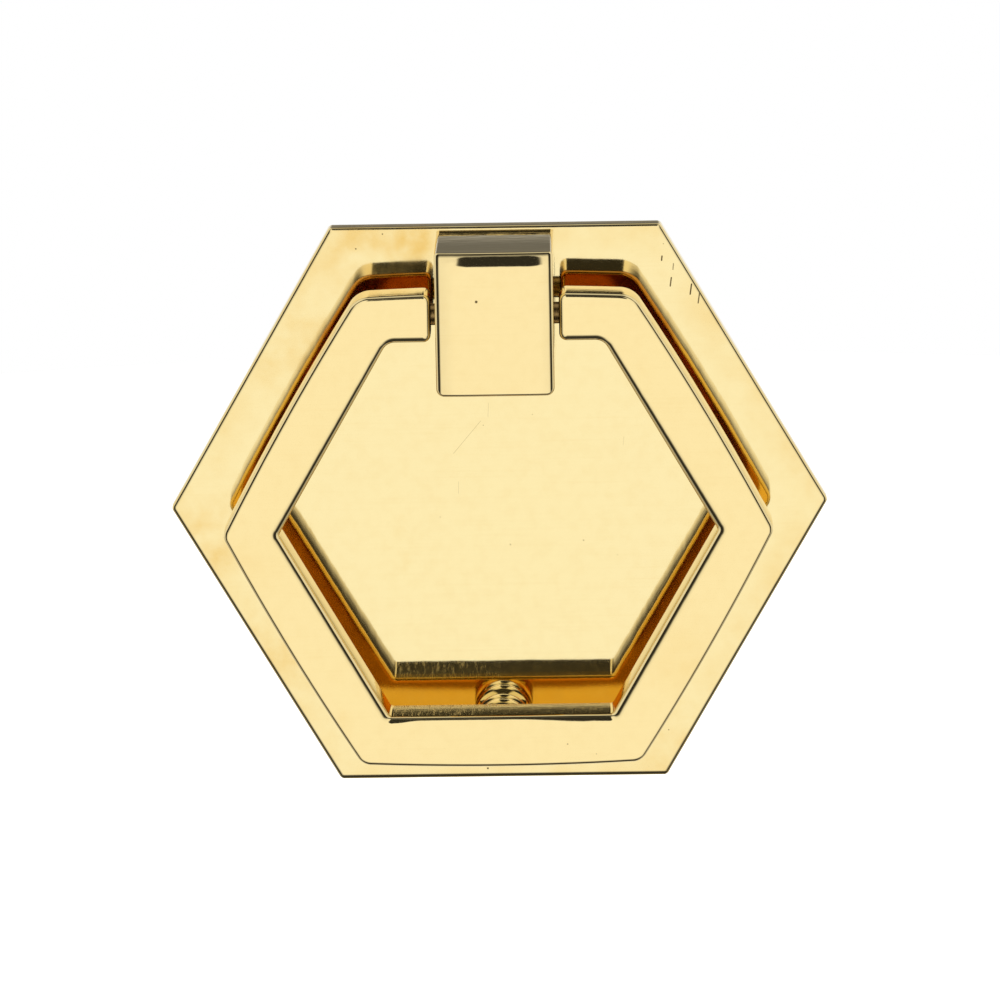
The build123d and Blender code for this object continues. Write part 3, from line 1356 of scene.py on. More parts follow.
@dataclass
class Backplate:
    """Flat hexagonal plate with two level sides, a square hole and a countersunk hole."""

    seats: Seats
    stud_z: float
    corner_radius: float = 0.7 * MM
    corner_steps: int = 10
    front_edge: RolledEdge = RolledEdge(0.25 * MM, 0.42 * MM, 12.5, 0.5)
    back_edge: RolledEdge = RolledEdge(0.12 * MM, 0.1 * MM, 0.5, 0.5)

    def outline(self, apothem: float) -> Outline:
        """The hexagon with softened corners.

        Args:
            apothem: Distance from its middle to a side.

        Returns:
            The outline round the plate's middle.
        """
        made = Outline()
        reach = (apothem - self.corner_radius) / math.cos(math.radians(HALF_SIDE_TURN))
        edges = (self.front_edge, self.front_edge)
        for corner in range(HEXAGON_SIDES):
            angle = SIDE_TURN * corner
            start = angle - HALF_SIDE_TURN
            made.arc(ray(angle) * reach, self.corner_radius, start, SIDE_TURN, self.corner_steps, edges)
        return made

    def holes(self, draft: MeshDraft, front: float, back: float) -> tuple[list[list[int]], list[list[int]]]:
        """Adds the walls of both holes.

        Args:
            draft: Mesh to add to.
            front: Y of the front face.
            back: Y of the back face.

        Returns:
            The holes' loops in the front face and in the back face.
        """
        seats = self.seats
        side = seats.spigot_side + 2.0 * seats.clearance
        corner = seats.spigot_radius + seats.clearance
        square = []
        for level in (front, back):
            square.append(draft.loop(square_at(BACK * level, side, corner, seats.corner_steps)))
        inward = [-normal for normal in square_normals(seats.corner_steps)]
        draft.band(square[0], square[1], inward, inward)
        axis = UP * self.stud_z
        rings = []
        for level, radius in (
            (front, seats.shank_radius),
            (back - seats.tail_depth, seats.shank_radius),
            (back, seats.tail_radius),
        ):
            ring = circle_at(axis + BACK * level, radius + seats.clearance, RIGHT, UP, seats.round_steps)
            rings.append(draft.loop(ring))
        draft.bore(rings[0], rings[1])
        opened = [(BACK - spoke).normalized() for spoke in spokes(RIGHT, UP, seats.round_steps)]
        draft.band(rings[1], rings[2], opened, opened)
        return [square[0], rings[0]], [square[1], rings[2]]

    def build(self) -> Object:
        """Makes the plate where the CAD plate is.

        Returns:
            The plate.
        """
        low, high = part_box("backplate")
        middle = middle_of("backplate")
        draft = MeshDraft()
        slab = Slab(
            self.outline((high.z - low.z) / 2.0),
            upright(Vector((middle.x, high.y, middle.z))),
            FaceLevel(high.y - low.y),
            FaceLevel(0.0),
            self.back_edge,
        )
        loops = slab.add_to(draft)
        front_holes, back_holes = self.holes(draft, low.y, high.y)
        draft.flat(loops.front_face, FRONT, front_holes)
        draft.flat(loops.back_face, BACK, back_holes)
        return draft.build("plate")


@dataclass
class Bracket:
    """Block that carries the hinge: its front rolls back under the top edge and is pillowed at the sides."""

    seats: Seats
    roll_height: float = 2.55 * MM
    roll_radius: float = 6.0 * MM
    pillow_width: float = 3.7 * MM
    pillow_tilt: float = 5.4
    lip_width: float = 0.62 * MM
    lip_tilt: float = 14.0
    foot_width: float = 0.6 * MM
    foot_tilt: float = 2.5
    corner_radius: float = 0.9 * MM
    top_corner_radius: float = 0.45 * MM
    edge_radius: float = 0.3 * MM
    top_crown: float = 1.6
    base_bevel: float = 0.06 * MM
    pin_bore_radius: float = 1.27 * MM
    thread_radius: float = 2.0 * MM
    thread_depth: float = 5.5 * MM
    countersink: float = 0.25 * MM
    drill_point_angle: float = 118.0
    corner_steps: int = 8
    edge_steps: int = 7
    plain_rows: int = 6
    roll_rows: int = 12
    pillow_columns: int = 8
    lip_columns: int = 5
    middle_columns: int = 4
    round_steps: int = 40
    low: Vector = field(default_factory=Vector)
    high: Vector = field(default_factory=Vector)

    def surface(self, across: float, height: float) -> tuple[Vector, Vector]:
        """A point of the front face and its normal.

        Args:
            across: Place along X.
            height: Place along Z.

        Returns:
            The point and the unit normal.
        """
        past_side = abs(across) - self.high.x
        roll, roll_slope = sag(height - self.high.z + self.roll_height, self.roll_radius)
        pillow, pillow_slope = soft_margin(past_side, self.pillow_width, self.pillow_tilt)
        lip, lip_slope = soft_margin(past_side, self.lip_width, self.lip_tilt)
        foot, foot_slope = soft_margin(self.low.z - height, self.foot_width, self.foot_tilt)
        place = Vector((across, self.low.y + roll + pillow + lip + foot, height))
        normal = Vector((math.copysign(pillow_slope + lip_slope, across), -1.0, roll_slope - foot_slope))
        return place, normal.normalized()

    def right_side(self) -> list[tuple[Vector, Vector]]:
        """The block's right wall, from the bottom round to the top.

        Returns:
            Points of the wall and its normals, seen from the front.
        """
        radius, top_radius = self.corner_radius, self.top_corner_radius
        bottom = Vector((self.high.x - radius, self.low.z + radius))
        top = Vector((self.high.x - top_radius, self.high.z - top_radius))
        found = []
        for angle in spread(-QUARTER_TURN, 0.0, self.corner_steps):
            found.append((bottom + ray(angle) * radius, ray(angle)))
        roll_start = self.high.z - self.roll_height
        plain = spread(bottom.y, roll_start, self.plain_rows)[1:]
        rolled = spread(roll_start, top.y, self.roll_rows)[1:-1]
        for height in plain + rolled:
            found.append((Vector((self.high.x, height)), ray(0.0)))
        for angle in spread(0.0, QUARTER_TURN, self.corner_steps):
            found.append((top + ray(angle) * top_radius, ray(angle)))
        return found

    def rim_point(self, wall: Vector, normal: Vector) -> Vector:
        """Where the front face ends beside a point of the wall.

        Args:
            wall: Point of the wall, seen from the front.
            normal: The wall's normal there.

        Returns:
            The face's last point, seen from the front.
        """
        inner = wall - normal * self.edge_radius
        spot = inner
        for _ in range(self.edge_steps):
            _, facing = self.surface(spot.x, spot.y)
            spot = inner + Vector((facing.x, facing.z)) * self.edge_radius
        return spot

    def columns(self) -> list[float]:
        """Spaces the front's columns, closer in the pillow and the lip.

        Returns:
            Shares of the half width, from left to right.
        """
        inner = 1.0 - self.pillow_width / self.high.x
        lip = 1.0 - self.lip_width / self.high.x
        half = spread(0.0, inner, self.middle_columns)[:-1]
        half += spread(inner, lip, self.pillow_columns)[:-1]
        half += spread(lip, 1.0, self.lip_columns)
        return [-share for share in half[:0:-1]] + half

    def front(self, draft: MeshDraft) -> tuple[list[int], list[Vector], list[Vector]]:
        """Adds the front face.

        Args:
            draft: Mesh to add to.

        Returns:
            The points round the face, the face's normals there and the wall's normals beside them.
        """
        shares = self.columns()
        rows = []
        aims = []
        sides = self.right_side()
        for wall, normal in sides:
            end = self.rim_point(wall, normal)
            spots = [self.surface(share * end.x, end.y) for share in shares]
            rows.append(draft.loop(place for place, _ in spots))
            aims.append([aim for _, aim in spots])
        for number in range(len(rows) - 1):
            draft.band(rows[number], rows[number + 1], aims[number], aims[number + 1], closed=False)
        last = len(rows) - 1
        beside = [stood(normal) for _, normal in sides]
        spots = [(0, column, -UP) for column in range(len(shares))]
        spots += [(row, -1, beside[row]) for row in range(1, last)]
        spots += [(last, column, UP) for column in reversed(range(len(shares)))]
        spots += [(row, 0, beside[row].reflect(RIGHT)) for row in reversed(range(1, last))]
        rim = [rows[row][column] for row, column, _ in spots]
        return rim, [aims[row][column] for row, column, _ in spots], [wall for _, _, wall in spots]

    def walls(
        self, draft: MeshDraft, rim: list[int], facing: list[Vector], walls: list[Vector], base: float
    ) -> list[int]:
        """Adds the rounded edges, the walls and the pin's bore.

        Args:
            draft: Mesh to add to.
            rim: Points round the front face.
            facing: The face's normals there.
            walls: The walls' normals beside them.
            base: Y of the plate's front.

        Returns:
            The loop where the block meets the plate.
        """
        crowned = []
        for wall in walls:
            lean = ray(self.top_crown * max(wall.z, 0.0))
            crowned.append((wall * lean.x + FRONT * lean.y).normalized())
        centres = [draft.points[number] - aim * self.edge_radius for number, aim in zip(rim, facing)]
        line = rim
        aims = facing
        for step in range(1, self.edge_steps + 1):
            share = step / self.edge_steps
            after_aims = [first.slerp(second, share) for first, second in zip(facing, crowned)]
            after = draft.loop(centre + aim * self.edge_radius for centre, aim in zip(centres, after_aims))
            draft.band(line, after, aims, after_aims)
            line = after
            aims = after_aims
        foot_y = base - self.base_bevel
        foot = draft.loop(Vector((draft.points[n].x, foot_y, draft.points[n].z)) for n in line)
        leaned = [Vector((aim.x, -aim.y, aim.z)) for aim in aims]
        mouths = []
        skipped = []
        axis = middle_of("hinge_pin")
        for side in (1.0, -1.0):
            run = [number for number, wall in enumerate(walls) if wall.x * side > 1.0 - MICRON]
            skipped += run[:-1]
            centre = Vector((side * self.high.x, axis.y, axis.z))
            mouth = draft.loop(circle_at(centre, self.pin_bore_radius, FRONT, UP, self.round_steps))
            edge = [line[number] for number in run] + [foot[number] for number in reversed(run)]
            draft.flat(edge, RIGHT * side, [mouth])
            mouths.append(mouth)
        draft.band(line, foot, aims, leaned, left_open=skipped)
        draft.bore(mouths[0], mouths[1])
        slant = [(wall + BACK).normalized() for wall in walls]
        end = draft.loop(draft.points[n] + (BACK - wall) * self.base_bevel for n, wall in zip(foot, walls))
        draft.band(foot, end, slant, slant)
        return end

    def spigot(self, draft: MeshDraft, base_loop: list[int], base: float) -> None:
        """Adds the base, the spigot in the plate and the fixing hole in its end.

        Args:
            draft: Mesh to add to.
            base_loop: Where the block meets the plate.
            base: Y of the plate's front.
        """
        seats = self.seats
        square = (seats.spigot_side, seats.spigot_radius, seats.corner_steps)
        inner_side = seats.spigot_side - 2.0 * self.base_bevel
        inner_radius = seats.spigot_radius - self.base_bevel
        outward = square_normals(seats.corner_steps)
        root = draft.loop(square_at(BACK * base, *square))
        shoulder = draft.loop(square_at(BACK * (self.high.y - self.base_bevel), *square))
        end_middle = BACK * self.high.y
        end = draft.loop(square_at(end_middle, inner_side, inner_radius, seats.corner_steps))
        draft.flat(base_loop, BACK, [root])
        draft.band(root, shoulder, outward, outward)
        slant = [(normal + BACK).normalized() for normal in outward]
        draft.band(shoulder, end, slant, slant)
        point = self.thread_radius / math.tan(math.radians(self.drill_point_angle / 2.0))
        rings = []
        for depth, radius in (
            (0.0, self.thread_radius + self.countersink),
            (self.countersink, self.thread_radius),
            (self.thread_depth, self.thread_radius),
            (self.thread_depth + point * (1.0 - self.base_bevel / self.thread_radius), self.base_bevel),
        ):
            ring = circle_at(end_middle + FRONT * depth, radius, RIGHT, UP, self.round_steps)
            rings.append(draft.loop(ring))
        draft.flat(end, BACK, [rings[0]])
        inward = [-spoke for spoke in spokes(RIGHT, UP, self.round_steps)]
        sunk = [(normal + BACK).normalized() for normal in inward]
        draft.band(rings[0], rings[1], sunk, sunk)
        draft.bore(rings[1], rings[2])
        drilled = [(normal * point + BACK * self.thread_radius).normalized() for normal in inward]
        draft.band(rings[2], rings[3], drilled, drilled)
        draft.flat(rings[3], BACK)

    def build(self) -> Object:
        """Makes the bracket where the CAD bracket is.

        Returns:
            The bracket.
        """
        self.low, self.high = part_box("bracket")
        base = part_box("backplate")[0].y
        draft = MeshDraft()
        rim, facing, walls = self.front(draft)
        base_loop = self.walls(draft, rim, facing, walls, base)
        self.spigot(draft, base_loop, base)
        return draft.build("bracket_block")


@dataclass
class DropRing:
    """Hexagonal ring of flat bar, open at the top, with bowed outer sides and a thicker bottom."""

    across_flats: float = 55.8 * MM
    side_bow: float = 0.4 * MM
    top_bar: float = 5.7 * MM
    side_bar: float = 6.1 * MM
    bottom_bar: float = 6.15 * MM
    bottom_rise: float = 0.35 * MM
    top_thickness: float = 5.7 * MM
    bottom_thickness: float = 6.6 * MM
    end_x: float = 7.35 * MM
    top_radius: float = 3.0 * MM
    side_radius: float = 1.5 * MM
    bottom_radius: float = 2.0 * MM
    upper_inner_radius: float = 1.5 * MM
    lower_inner_radius: float = 0.5 * MM
    end_radius: float = 0.9 * MM
    lean: float = 3.43
    bore_radius: float = 1.3 * MM
    bore_depth: float = 4.5 * MM
    worn_start: float = 1.0 * MM
    worn_full: float = 9.6 * MM
    worn_end: float = 12.4 * MM
    sill_fade: float = 3.5 * MM
    worn_steps: int = 40
    bore_steps: int = 40
    bow_steps: int = 20
    corner_steps: int = 14
    small_steps: int = 8
    top_edge: RolledEdge = RolledEdge(0.45 * MM, 0.5 * MM, 7.5, 1.2)
    outer_edge: RolledEdge = RolledEdge(0.27 * MM, 0.45 * MM, 13.0, 2.0)
    lower_outer_edge: RolledEdge = RolledEdge(0.27 * MM, 0.32 * MM, 11.0, 2.0)
    end_edge: RolledEdge = RolledEdge(0.3 * MM, 0.4 * MM, 12.0, 0.01)
    upper_inner_edge: RolledEdge = RolledEdge(0.42 * MM, 0.7 * MM, 14.0, 1.5)
    lower_inner_edge: RolledEdge = RolledEdge(0.5 * MM, 0.9 * MM, 15.0, 2.2)
    sill_edge: RolledEdge = RolledEdge(0.5 * MM, 0.5 * MM, 9.0, 2.2)
    worn_edge: RolledEdge = RolledEdge(0.5 * MM, 1.4 * MM, 11.0, 2.2)
    back_edge: RolledEdge = RolledEdge(0.4 * MM, 0.3 * MM, 2.0, 2.0)

    @property
    def apothem(self) -> float:
        """Distance from the ring's middle to the middle of a side."""
        return self.across_flats / 2.0

    @property
    def drop(self) -> float:
        """How far the ring's middle lies below the hinge."""
        return self.apothem - self.top_bar / 2.0

    def bow_radius(self) -> float:
        """Radius of the bowed sides."""
        half_chord = (self.apothem - self.side_bow) * math.tan(math.radians(HALF_SIDE_TURN))
        return (half_chord**2 + self.side_bow**2) / (2.0 * self.side_bow)

    def bow_centre(self, number: int) -> Vector:
        """Centre of a bowed side's arc.

        Args:
            number: The side, counted from the top to the left.

        Returns:
            The centre.
        """
        outward = ray(QUARTER_TURN + SIDE_TURN * number)
        centre = Vector((0.0, -self.drop)) + outward * (self.apothem - self.bow_radius())
        if number == HEXAGON_SIDES // 2:
            centre.y += self.bottom_rise
        return centre

    def corner(self, number: int, radius: float) -> tuple[Vector, float, float]:
        """Finds the round corner after a side.

        Args:
            number: The side, counted from the top to the left.
            radius: Radius of the corner.

        Returns:
            The corner's centre, and the angles at which the sides before and after meet it.
        """
        before = self.bow_centre(number)
        after = self.bow_centre(number + 1)
        apart = (after - before) / 2.0
        out = Vector((apart.y, -apart.x)).normalized()
        outward = QUARTER_TURN + SIDE_TURN * number + HALF_SIDE_TURN
        reach = math.sqrt((self.bow_radius() - radius) ** 2 - apart.length_squared)
        centre = before + apart + out * math.copysign(reach, out.dot(ray(outward)))
        turns = []
        for start in (before, after):
            angle = math.degrees(math.atan2(centre.y - start.y, centre.x - start.x))
            turns.append(outward + (angle - outward + HALF_TURN) % FULL_TURN - HALF_TURN)
        return centre, turns[0], turns[1]

    def outer_outline(self, made: Outline, end_share: float) -> None:
        """Adds the outside from the left end round to the right end.

        Args:
            made: Outline to add to.
            end_share: Turn of the bow at which the ends' corners start.
        """
        sweep = self.bow_radius()
        radii = (self.top_radius, self.side_radius, self.bottom_radius)
        radii += radii[::-1]
        lower = [self.lower_outer_edge] * (HEXAGON_SIDES // 2)
        edges = [self.top_edge, self.outer_edge, *lower, self.outer_edge, self.top_edge]
        starts = QUARTER_TURN + end_share
        for number, radius in enumerate(radii):
            here, after = edges[number], edges[number + 1]
            centre, ends, resumes = self.corner(number, radius)
            made.arc(self.bow_centre(number), sweep, starts, ends - starts, self.bow_steps, (here, here))
            made.arc(centre, radius, ends, resumes - ends, self.corner_steps, (here, after))
            starts = resumes
        ends = QUARTER_TURN + FULL_TURN - end_share
        last = (self.top_edge, self.top_edge)
        made.arc(self.bow_centre(HEXAGON_SIDES), sweep, starts, ends - starts, self.bow_steps, last)

    def opening_corner(self, number: int) -> tuple[Vector, float]:
        """A corner of the opening before it is rounded.

        Args:
            number: The corner, counted clockwise from the top right.

        Returns:
            The corner, and its direction from the ring's middle.
        """
        side_apothem = self.apothem - self.side_bar
        half = ray(HALF_SIDE_TURN)
        angle = QUARTER_TURN - HALF_SIDE_TURN - SIDE_TURN * number
        up = ray(angle).y
        level = 0.0
        if abs(up) > half.y:
            low = self.bottom_rise + self.bottom_bar - self.apothem
            level = self.apothem - self.top_bar if up > 0.0 else low
        across = (side_apothem - abs(level) * half.y) / half.x
        return Vector((math.copysign(across, ray(angle).x), level - self.drop)), angle

    def opening_outline(self, made: Outline) -> None:
        """Adds the opening from the right end round to the left end.

        Args:
            made: Outline to add to.
        """
        half = ray(HALF_SIDE_TURN)
        for number in range(HEXAGON_SIDES):
            sharp, angle = self.opening_corner(number)
            is_top = number in (0, HEXAGON_SIDES - 1)
            radius = self.upper_inner_radius if is_top else self.lower_inner_radius
            edge = self.upper_inner_edge if is_top else self.lower_inner_edge
            centre = sharp - ray(angle) * (radius / half.x)
            start = angle + HALF_SIDE_TURN
            if number == HEXAGON_SIDES // 2:
                self.worn_run(made, centre + ray(start) * radius)
            made.arc(centre, radius, start, -SIDE_TURN, self.small_steps, (edge, edge), hollow=True)

    def worn_run(self, made: Outline, end: Vector) -> None:
        """Adds the opening's bottom side, whose front edge is worn round on the right.

        Args:
            made: Outline to add to.
            end: Left end of the side.
        """
        start = made.places[-1]
        edges = []
        for step in range(1, self.worn_steps):
            across = start.lerp(end, step / self.worn_steps).x
            share = smooth_step(across, self.worn_start, self.worn_full)
            share *= 1.0 - smooth_step(across, self.worn_full, self.worn_end)
            from_corner = min(start.x - across, across - end.x)
            away = smooth_step(from_corner, 0.0, self.sill_fade)
            edge = self.lower_inner_edge.blend(self.sill_edge, away)
            edges.append(edge.blend(self.worn_edge, share))
        made.run(end, edges)

    def outline(self) -> tuple[Outline, dict[float, int]]:
        """The ring's outline in its own plane, round the pin.

        Returns:
            The outline, and the outline point where each end's straight run starts, by the end's side.
        """
        made = Outline()
        sweep = self.bow_radius() - self.end_radius
        end_centre_x = self.end_x + self.end_radius
        end_share = math.degrees(math.asin(end_centre_x / sweep))
        end_top = self.bow_centre(0).y + math.sqrt(sweep**2 - end_centre_x**2)
        end_bottom = -self.top_bar / 2.0 + self.end_radius
        steps = self.small_steps
        into = (self.top_edge, self.end_edge)
        under = (self.end_edge, self.upper_inner_edge)
        radius = self.end_radius
        runs = {}
        made.arc(Vector((-end_centre_x, end_top)), radius, 0.0, QUARTER_TURN + end_share, steps, into[::-1])
        self.outer_outline(made, end_share)
        start = QUARTER_TURN - end_share
        made.arc(Vector((end_centre_x, end_top)), radius, start, HALF_TURN - start, steps, into)
        runs[1.0] = len(made.places) - 1
        made.arc(Vector((end_centre_x, end_bottom)), radius, HALF_TURN, QUARTER_TURN, steps, under)
        self.opening_outline(made)
        over = under[::-1]
        made.arc(Vector((-end_centre_x, end_bottom)), radius, -QUARTER_TURN, QUARTER_TURN, steps, over)
        runs[-1.0] = len(made.places) - 1
        return made, runs

    def build(self, hinge: Vector) -> Object:
        """Makes the ring as it hangs.

        Args:
            hinge: Middle of the hinge.

        Returns:
            The ring.
        """
        outline, runs = self.outline()
        placement = upright(hinge, self.lean)
        half = self.top_thickness / 2.0
        taper = (self.bottom_thickness - self.top_thickness) / (2.0 * self.drop)
        slab = Slab(outline, placement, FaceLevel(half), FaceLevel(-half, taper), self.back_edge)
        draft = MeshDraft()
        loops = slab.add_to(draft, open_runs=tuple(runs.values()))
        nothing = Vector((0.0, 0.0))
        draft.flat(loops.front_face, slab.aim(nothing, 0.0, 1.0))
        draft.flat(loops.back_face, slab.aim(nothing, 0.0, -1.0, taper))
        turned = placement.to_3x3()
        up, out = turned.col[1].copy(), turned.col[2].copy()
        for side, start in runs.items():
            after = (start + 1) % len(outline.places)
            rim = [line[after] for line in loops.wall] + [line[start] for line in reversed(loops.wall)]
            into = RIGHT * side
            centre = hinge + into * self.end_x
            mouth = draft.loop(circle_at(centre, self.bore_radius, up, out, self.bore_steps))
            far = centre + into * self.bore_depth
            end = draft.loop(circle_at(far, self.bore_radius, up, out, self.bore_steps))
            draft.flat(rim, -into, [mouth])
            draft.bore(mouth, end)
            draft.flat(end, -into)
        return draft.build("ring")


class PathTrees:
    """Geometry Nodes trees for what is turned on a lathe and for the thread that a tap cuts."""

    # Name and kind of the inputs that both trees end with.
    PLACING = (("Weld Distance", "Float"), ("Turn", "Rotation"), ("Place", "Vector"), ("Finish", "Material"))

    def __init__(self) -> None:
        """Builds both trees."""
        self.turned = self.make_turned()
        self.thread = self.make_thread()

    def start(self, name: str, inputs: Sequence[tuple[str, str]]) -> Started:
        """Starts a tree that reads a mesh, its own inputs and the placing ones, and gives a mesh."""
        mesh = ("Geometry", "Geometry")
        return start_group(name, "GeometryNodeTree", (mesh, *inputs, *self.PLACING), mesh)

    @staticmethod
    def close(started: Started, shape: NodeSocket) -> NodeTree:
        """Ends a tree: welds, turns and places the shape, and gives it its finish.

        Args:
            started: The tree.
            shape: The shape so far.

        Returns:
            The tree, ready to run.
        """
        wires, given, result = started
        weld = wires.node("GeometryNodeMergeByDistance")
        welded = wires.feed_all(weld, Geometry=shape, Distance=given["Weld Distance"])
        move = wires.node("GeometryNodeTransform")
        moved = wires.feed_all(move, Geometry=welded, Rotation=given["Turn"], Translation=given["Place"])
        real = wires.feed_all(wires.node("GeometryNodeRealizeInstances"), Geometry=moved)
        paint = wires.node("GeometryNodeSetMaterial")
        wires.feed(result, wires.feed_all(paint, Geometry=real, Material=given["Finish"]))
        return wires.tree

    def make_turned(self) -> NodeTree:
        """Carries a half section round a circle.

        Returns:
            The tree.
        """
        started = self.start("turned", (("Path Radius", "Float"), ("Segments", "Int")))
        wires, given, _ = started
        section = wires.feed_all(wires.node("GeometryNodeMeshToCurve"), Mesh=given["Geometry"])
        path = wires.node("GeometryNodeCurvePrimitiveCircle")
        wires.feed_all(path, Resolution=given["Segments"], Radius=given["Path Radius"])
        swept = wires.node("GeometryNodeCurveToMesh")
        shape = wires.feed_all(swept, Curve=path.outputs["Curve"], Profile_Curve=section)
        return self.close(started, shape)

    def make_thread(self) -> NodeTree:
        """Carries a thread's ridge along a helix, with its crest towards the axis.

        Returns:
            The tree.
        """
        lengths = ("Turns", "Length", "Radius", "Ridge Height", "Root Width", "Crest Width")
        inputs = (("Segments", "Int"), *[(title, "Float") for title in lengths])
        started = self.start("thread", inputs)
        wires, given, _ = started
        helix = wires.feed_all(
            wires.node("GeometryNodeCurveSpiral"),
            Resolution=given["Segments"],
            Rotations=given["Turns"],
            Start_Radius=given["Radius"],
            End_Radius=given["Radius"],
            Height=given["Length"],
        )
        level = wires.feed_all(wires.node("GeometryNodeSetCurveNormal", mode="Z_UP"), Curve=helix)
        ridge = wires.node("GeometryNodeCurvePrimitiveQuadrilateral", mode="TRAPEZOID")
        wires.feed_all(
            ridge,
            Height=given["Ridge Height"],
            Bottom_Width=given["Root Width"],
            Top_Width=given["Crest Width"],
            Offset=0.0,
        )
        inwards = wires.node("GeometryNodeTransform")
        quarter = (0.0, 0.0, math.radians(QUARTER_TURN))
        turned = wires.feed_all(inwards, Geometry=ridge.outputs["Curve"], Rotation=quarter)
        swept = wires.node("GeometryNodeCurveToMesh")
        shape = wires.feed_all(swept, Curve=level, Profile_Curve=turned, Fill_Caps=True)
        return self.close(started, shape)


def placing(turn: Triple, place: Vector, finish: Material) -> dict[str, object]:
    """Values for the inputs that weld, turn, place and finish a grown piece."""
    radians = [math.radians(angle) for angle in turn]
    return {"Weld Distance": MICRON, "Turn": radians, "Place": list(place), "Finish": finish}


def grow(name: str, section: Mesh, tree: NodeTree, values: dict[str, object]) -> Object:
    """Runs a Geometry Nodes tree and keeps its result as a plain mesh.

    Args:
        name: Name of the piece.
        section: Mesh that the tree starts from.
        tree: The tree.
        values: What each of its inputs gets, by name.

    Returns:
        The piece, at the origin and linked to the scene.
    """
    seed = placed(name + "_seed", section)
    modifier = seed.modifiers.new(tree.name, "NODES")
    modifier.node_group = tree
    for item in tree.interface.items_tree:
        if item.in_out == "INPUT" and item.name in values:
            modifier[item.identifier] = values[item.name]
    evaluated = seed.evaluated_get(bpy.context.evaluated_depsgraph_get())
    mesh = bpy.data.meshes.new_from_object(evaluated)
    mesh.name = name
    seed.modifiers.remove(modifier)
    bpy.data.objects.remove(seed)
    shape = bmesh.new()
    shape.from_mesh(mesh)
    bmesh.ops.recalc_face_normals(shape, faces=shape.faces)
    shape.to_mesh(mesh)
    shape.free()
    mesh.polygons.foreach_set("use_smooth", [True] * len(mesh.polygons))
    mesh.set_sharp_from_angle(angle=math.radians(SHARP_ANGLE))
    return placed(name, mesh)


@dataclass
class TurnedPart:
    """A piece turned on a lathe, from its half section of radius and height pairs.

    Attributes:
        name: Name of the piece.
        section: Radius and height of each corner of the half section.
        turn: Turn that brings the lathe's axis to its place.
        place: Where the section's height starts.
        path_radius: Radius of the circle that carries the section.
        segments: Faces round the piece.
    """

    name: str
    section: list[tuple[float, float]]
    turn: Triple
    place: Vector
    path_radius: float = 1.0 * MM
    segments: int = 72

    def build(self, trees: PathTrees, finish: Material) -> Object:
        """Makes the piece.

        Args:
            trees: The Geometry Nodes trees.
            finish: Its material.

        Returns:
            The piece.
        """
        line = bpy.data.meshes.new(self.name + "_section")
        points = [(radius - self.path_radius, -height, 0.0) for radius, height in self.section]
        line.from_pydata(points, [(number, number + 1) for number in range(len(points) - 1)], [])
        sizes = {"Path Radius": self.path_radius, "Segments": self.segments}
        values = {**sizes, **placing(self.turn, self.place, finish)}
        return grow(self.name, line, trees.turned, values)


@dataclass
class StopStud:
    """Turned post that the ring rests on, with a neck, two faint beads and a riveted tail."""

    seats: Seats
    neck_radius: float = 2.8 * MM
    neck_height: float = 0.9 * MM
    body_radius: float = 3.3 * MM
    bead_rise: float = 0.1 * MM
    groove_height: float = 3.0 * MM
    shoulder_height: float = 0.7 * MM
    tip_radius: float = 2.3 * MM
    tail_bevel: float = 0.08 * MM
    bead_steps: int = 12
    shoulder_steps: int = 6

    def part(self) -> TurnedPart:
        """The stud's half section, where the CAD stud is.

        Returns:
            The turned part.
        """
        low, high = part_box("stop_stud")
        plate_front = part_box("backplate")[0].y
        height = plate_front - low.y
        tail = high.y - plate_front
        seats = self.seats
        section = [
            (0.0, -tail),
            (seats.tail_radius - self.tail_bevel, -tail),
            (seats.tail_radius, self.tail_bevel - tail),
            (seats.shank_radius, seats.tail_depth - tail),
            (seats.shank_radius, 0.0),
            (self.neck_radius, 0.0),
            (self.body_radius, self.neck_height),
        ]
        shoulder = height - self.shoulder_height
        for first, last in ((self.neck_height, self.groove_height), (self.groove_height, shoulder)):
            for share in spread(0.0, 1.0, self.bead_steps)[1:]:
                swell = self.bead_rise * math.sin(math.pi * share)
                section.append((self.body_radius + swell, first + (last - first) * share))
        slope = self.body_radius - self.tip_radius
        for angle in spread(0.0, QUARTER_TURN, self.shoulder_steps)[1:]:
            turn = ray(angle)
            section.append((self.tip_radius + slope * turn.x, shoulder + self.shoulder_height * turn.y))
        section.append((0.0, height))
        middle = middle_of("stop_stud")
        place = Vector((middle.x, plate_front, middle.z))
        return TurnedPart("stud", section, (QUARTER_TURN, 0.0, 0.0), place)


@dataclass
class HingePin:
    """Straight pin with broken ends."""

    chamfer: float = 0.3 * MM

    def part(self) -> TurnedPart:
        """The pin's half section, where the CAD pin is.

        Returns:
            The turned part.
        """
        low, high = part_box("hinge_pin")
        half = (high.x - low.x) / 2.0
        radius = (high.z - low.z) / 2.0
        section = [
            (0.0, -half),
            (radius - self.chamfer, -half),
            (radius, self.chamfer - half),
            (radius, half - self.chamfer),
            (radius - self.chamfer, half),
            (0.0, half),
        ]
        return TurnedPart("pin", section, (0.0, QUARTER_TURN, 0.0), middle_of("hinge_pin"))


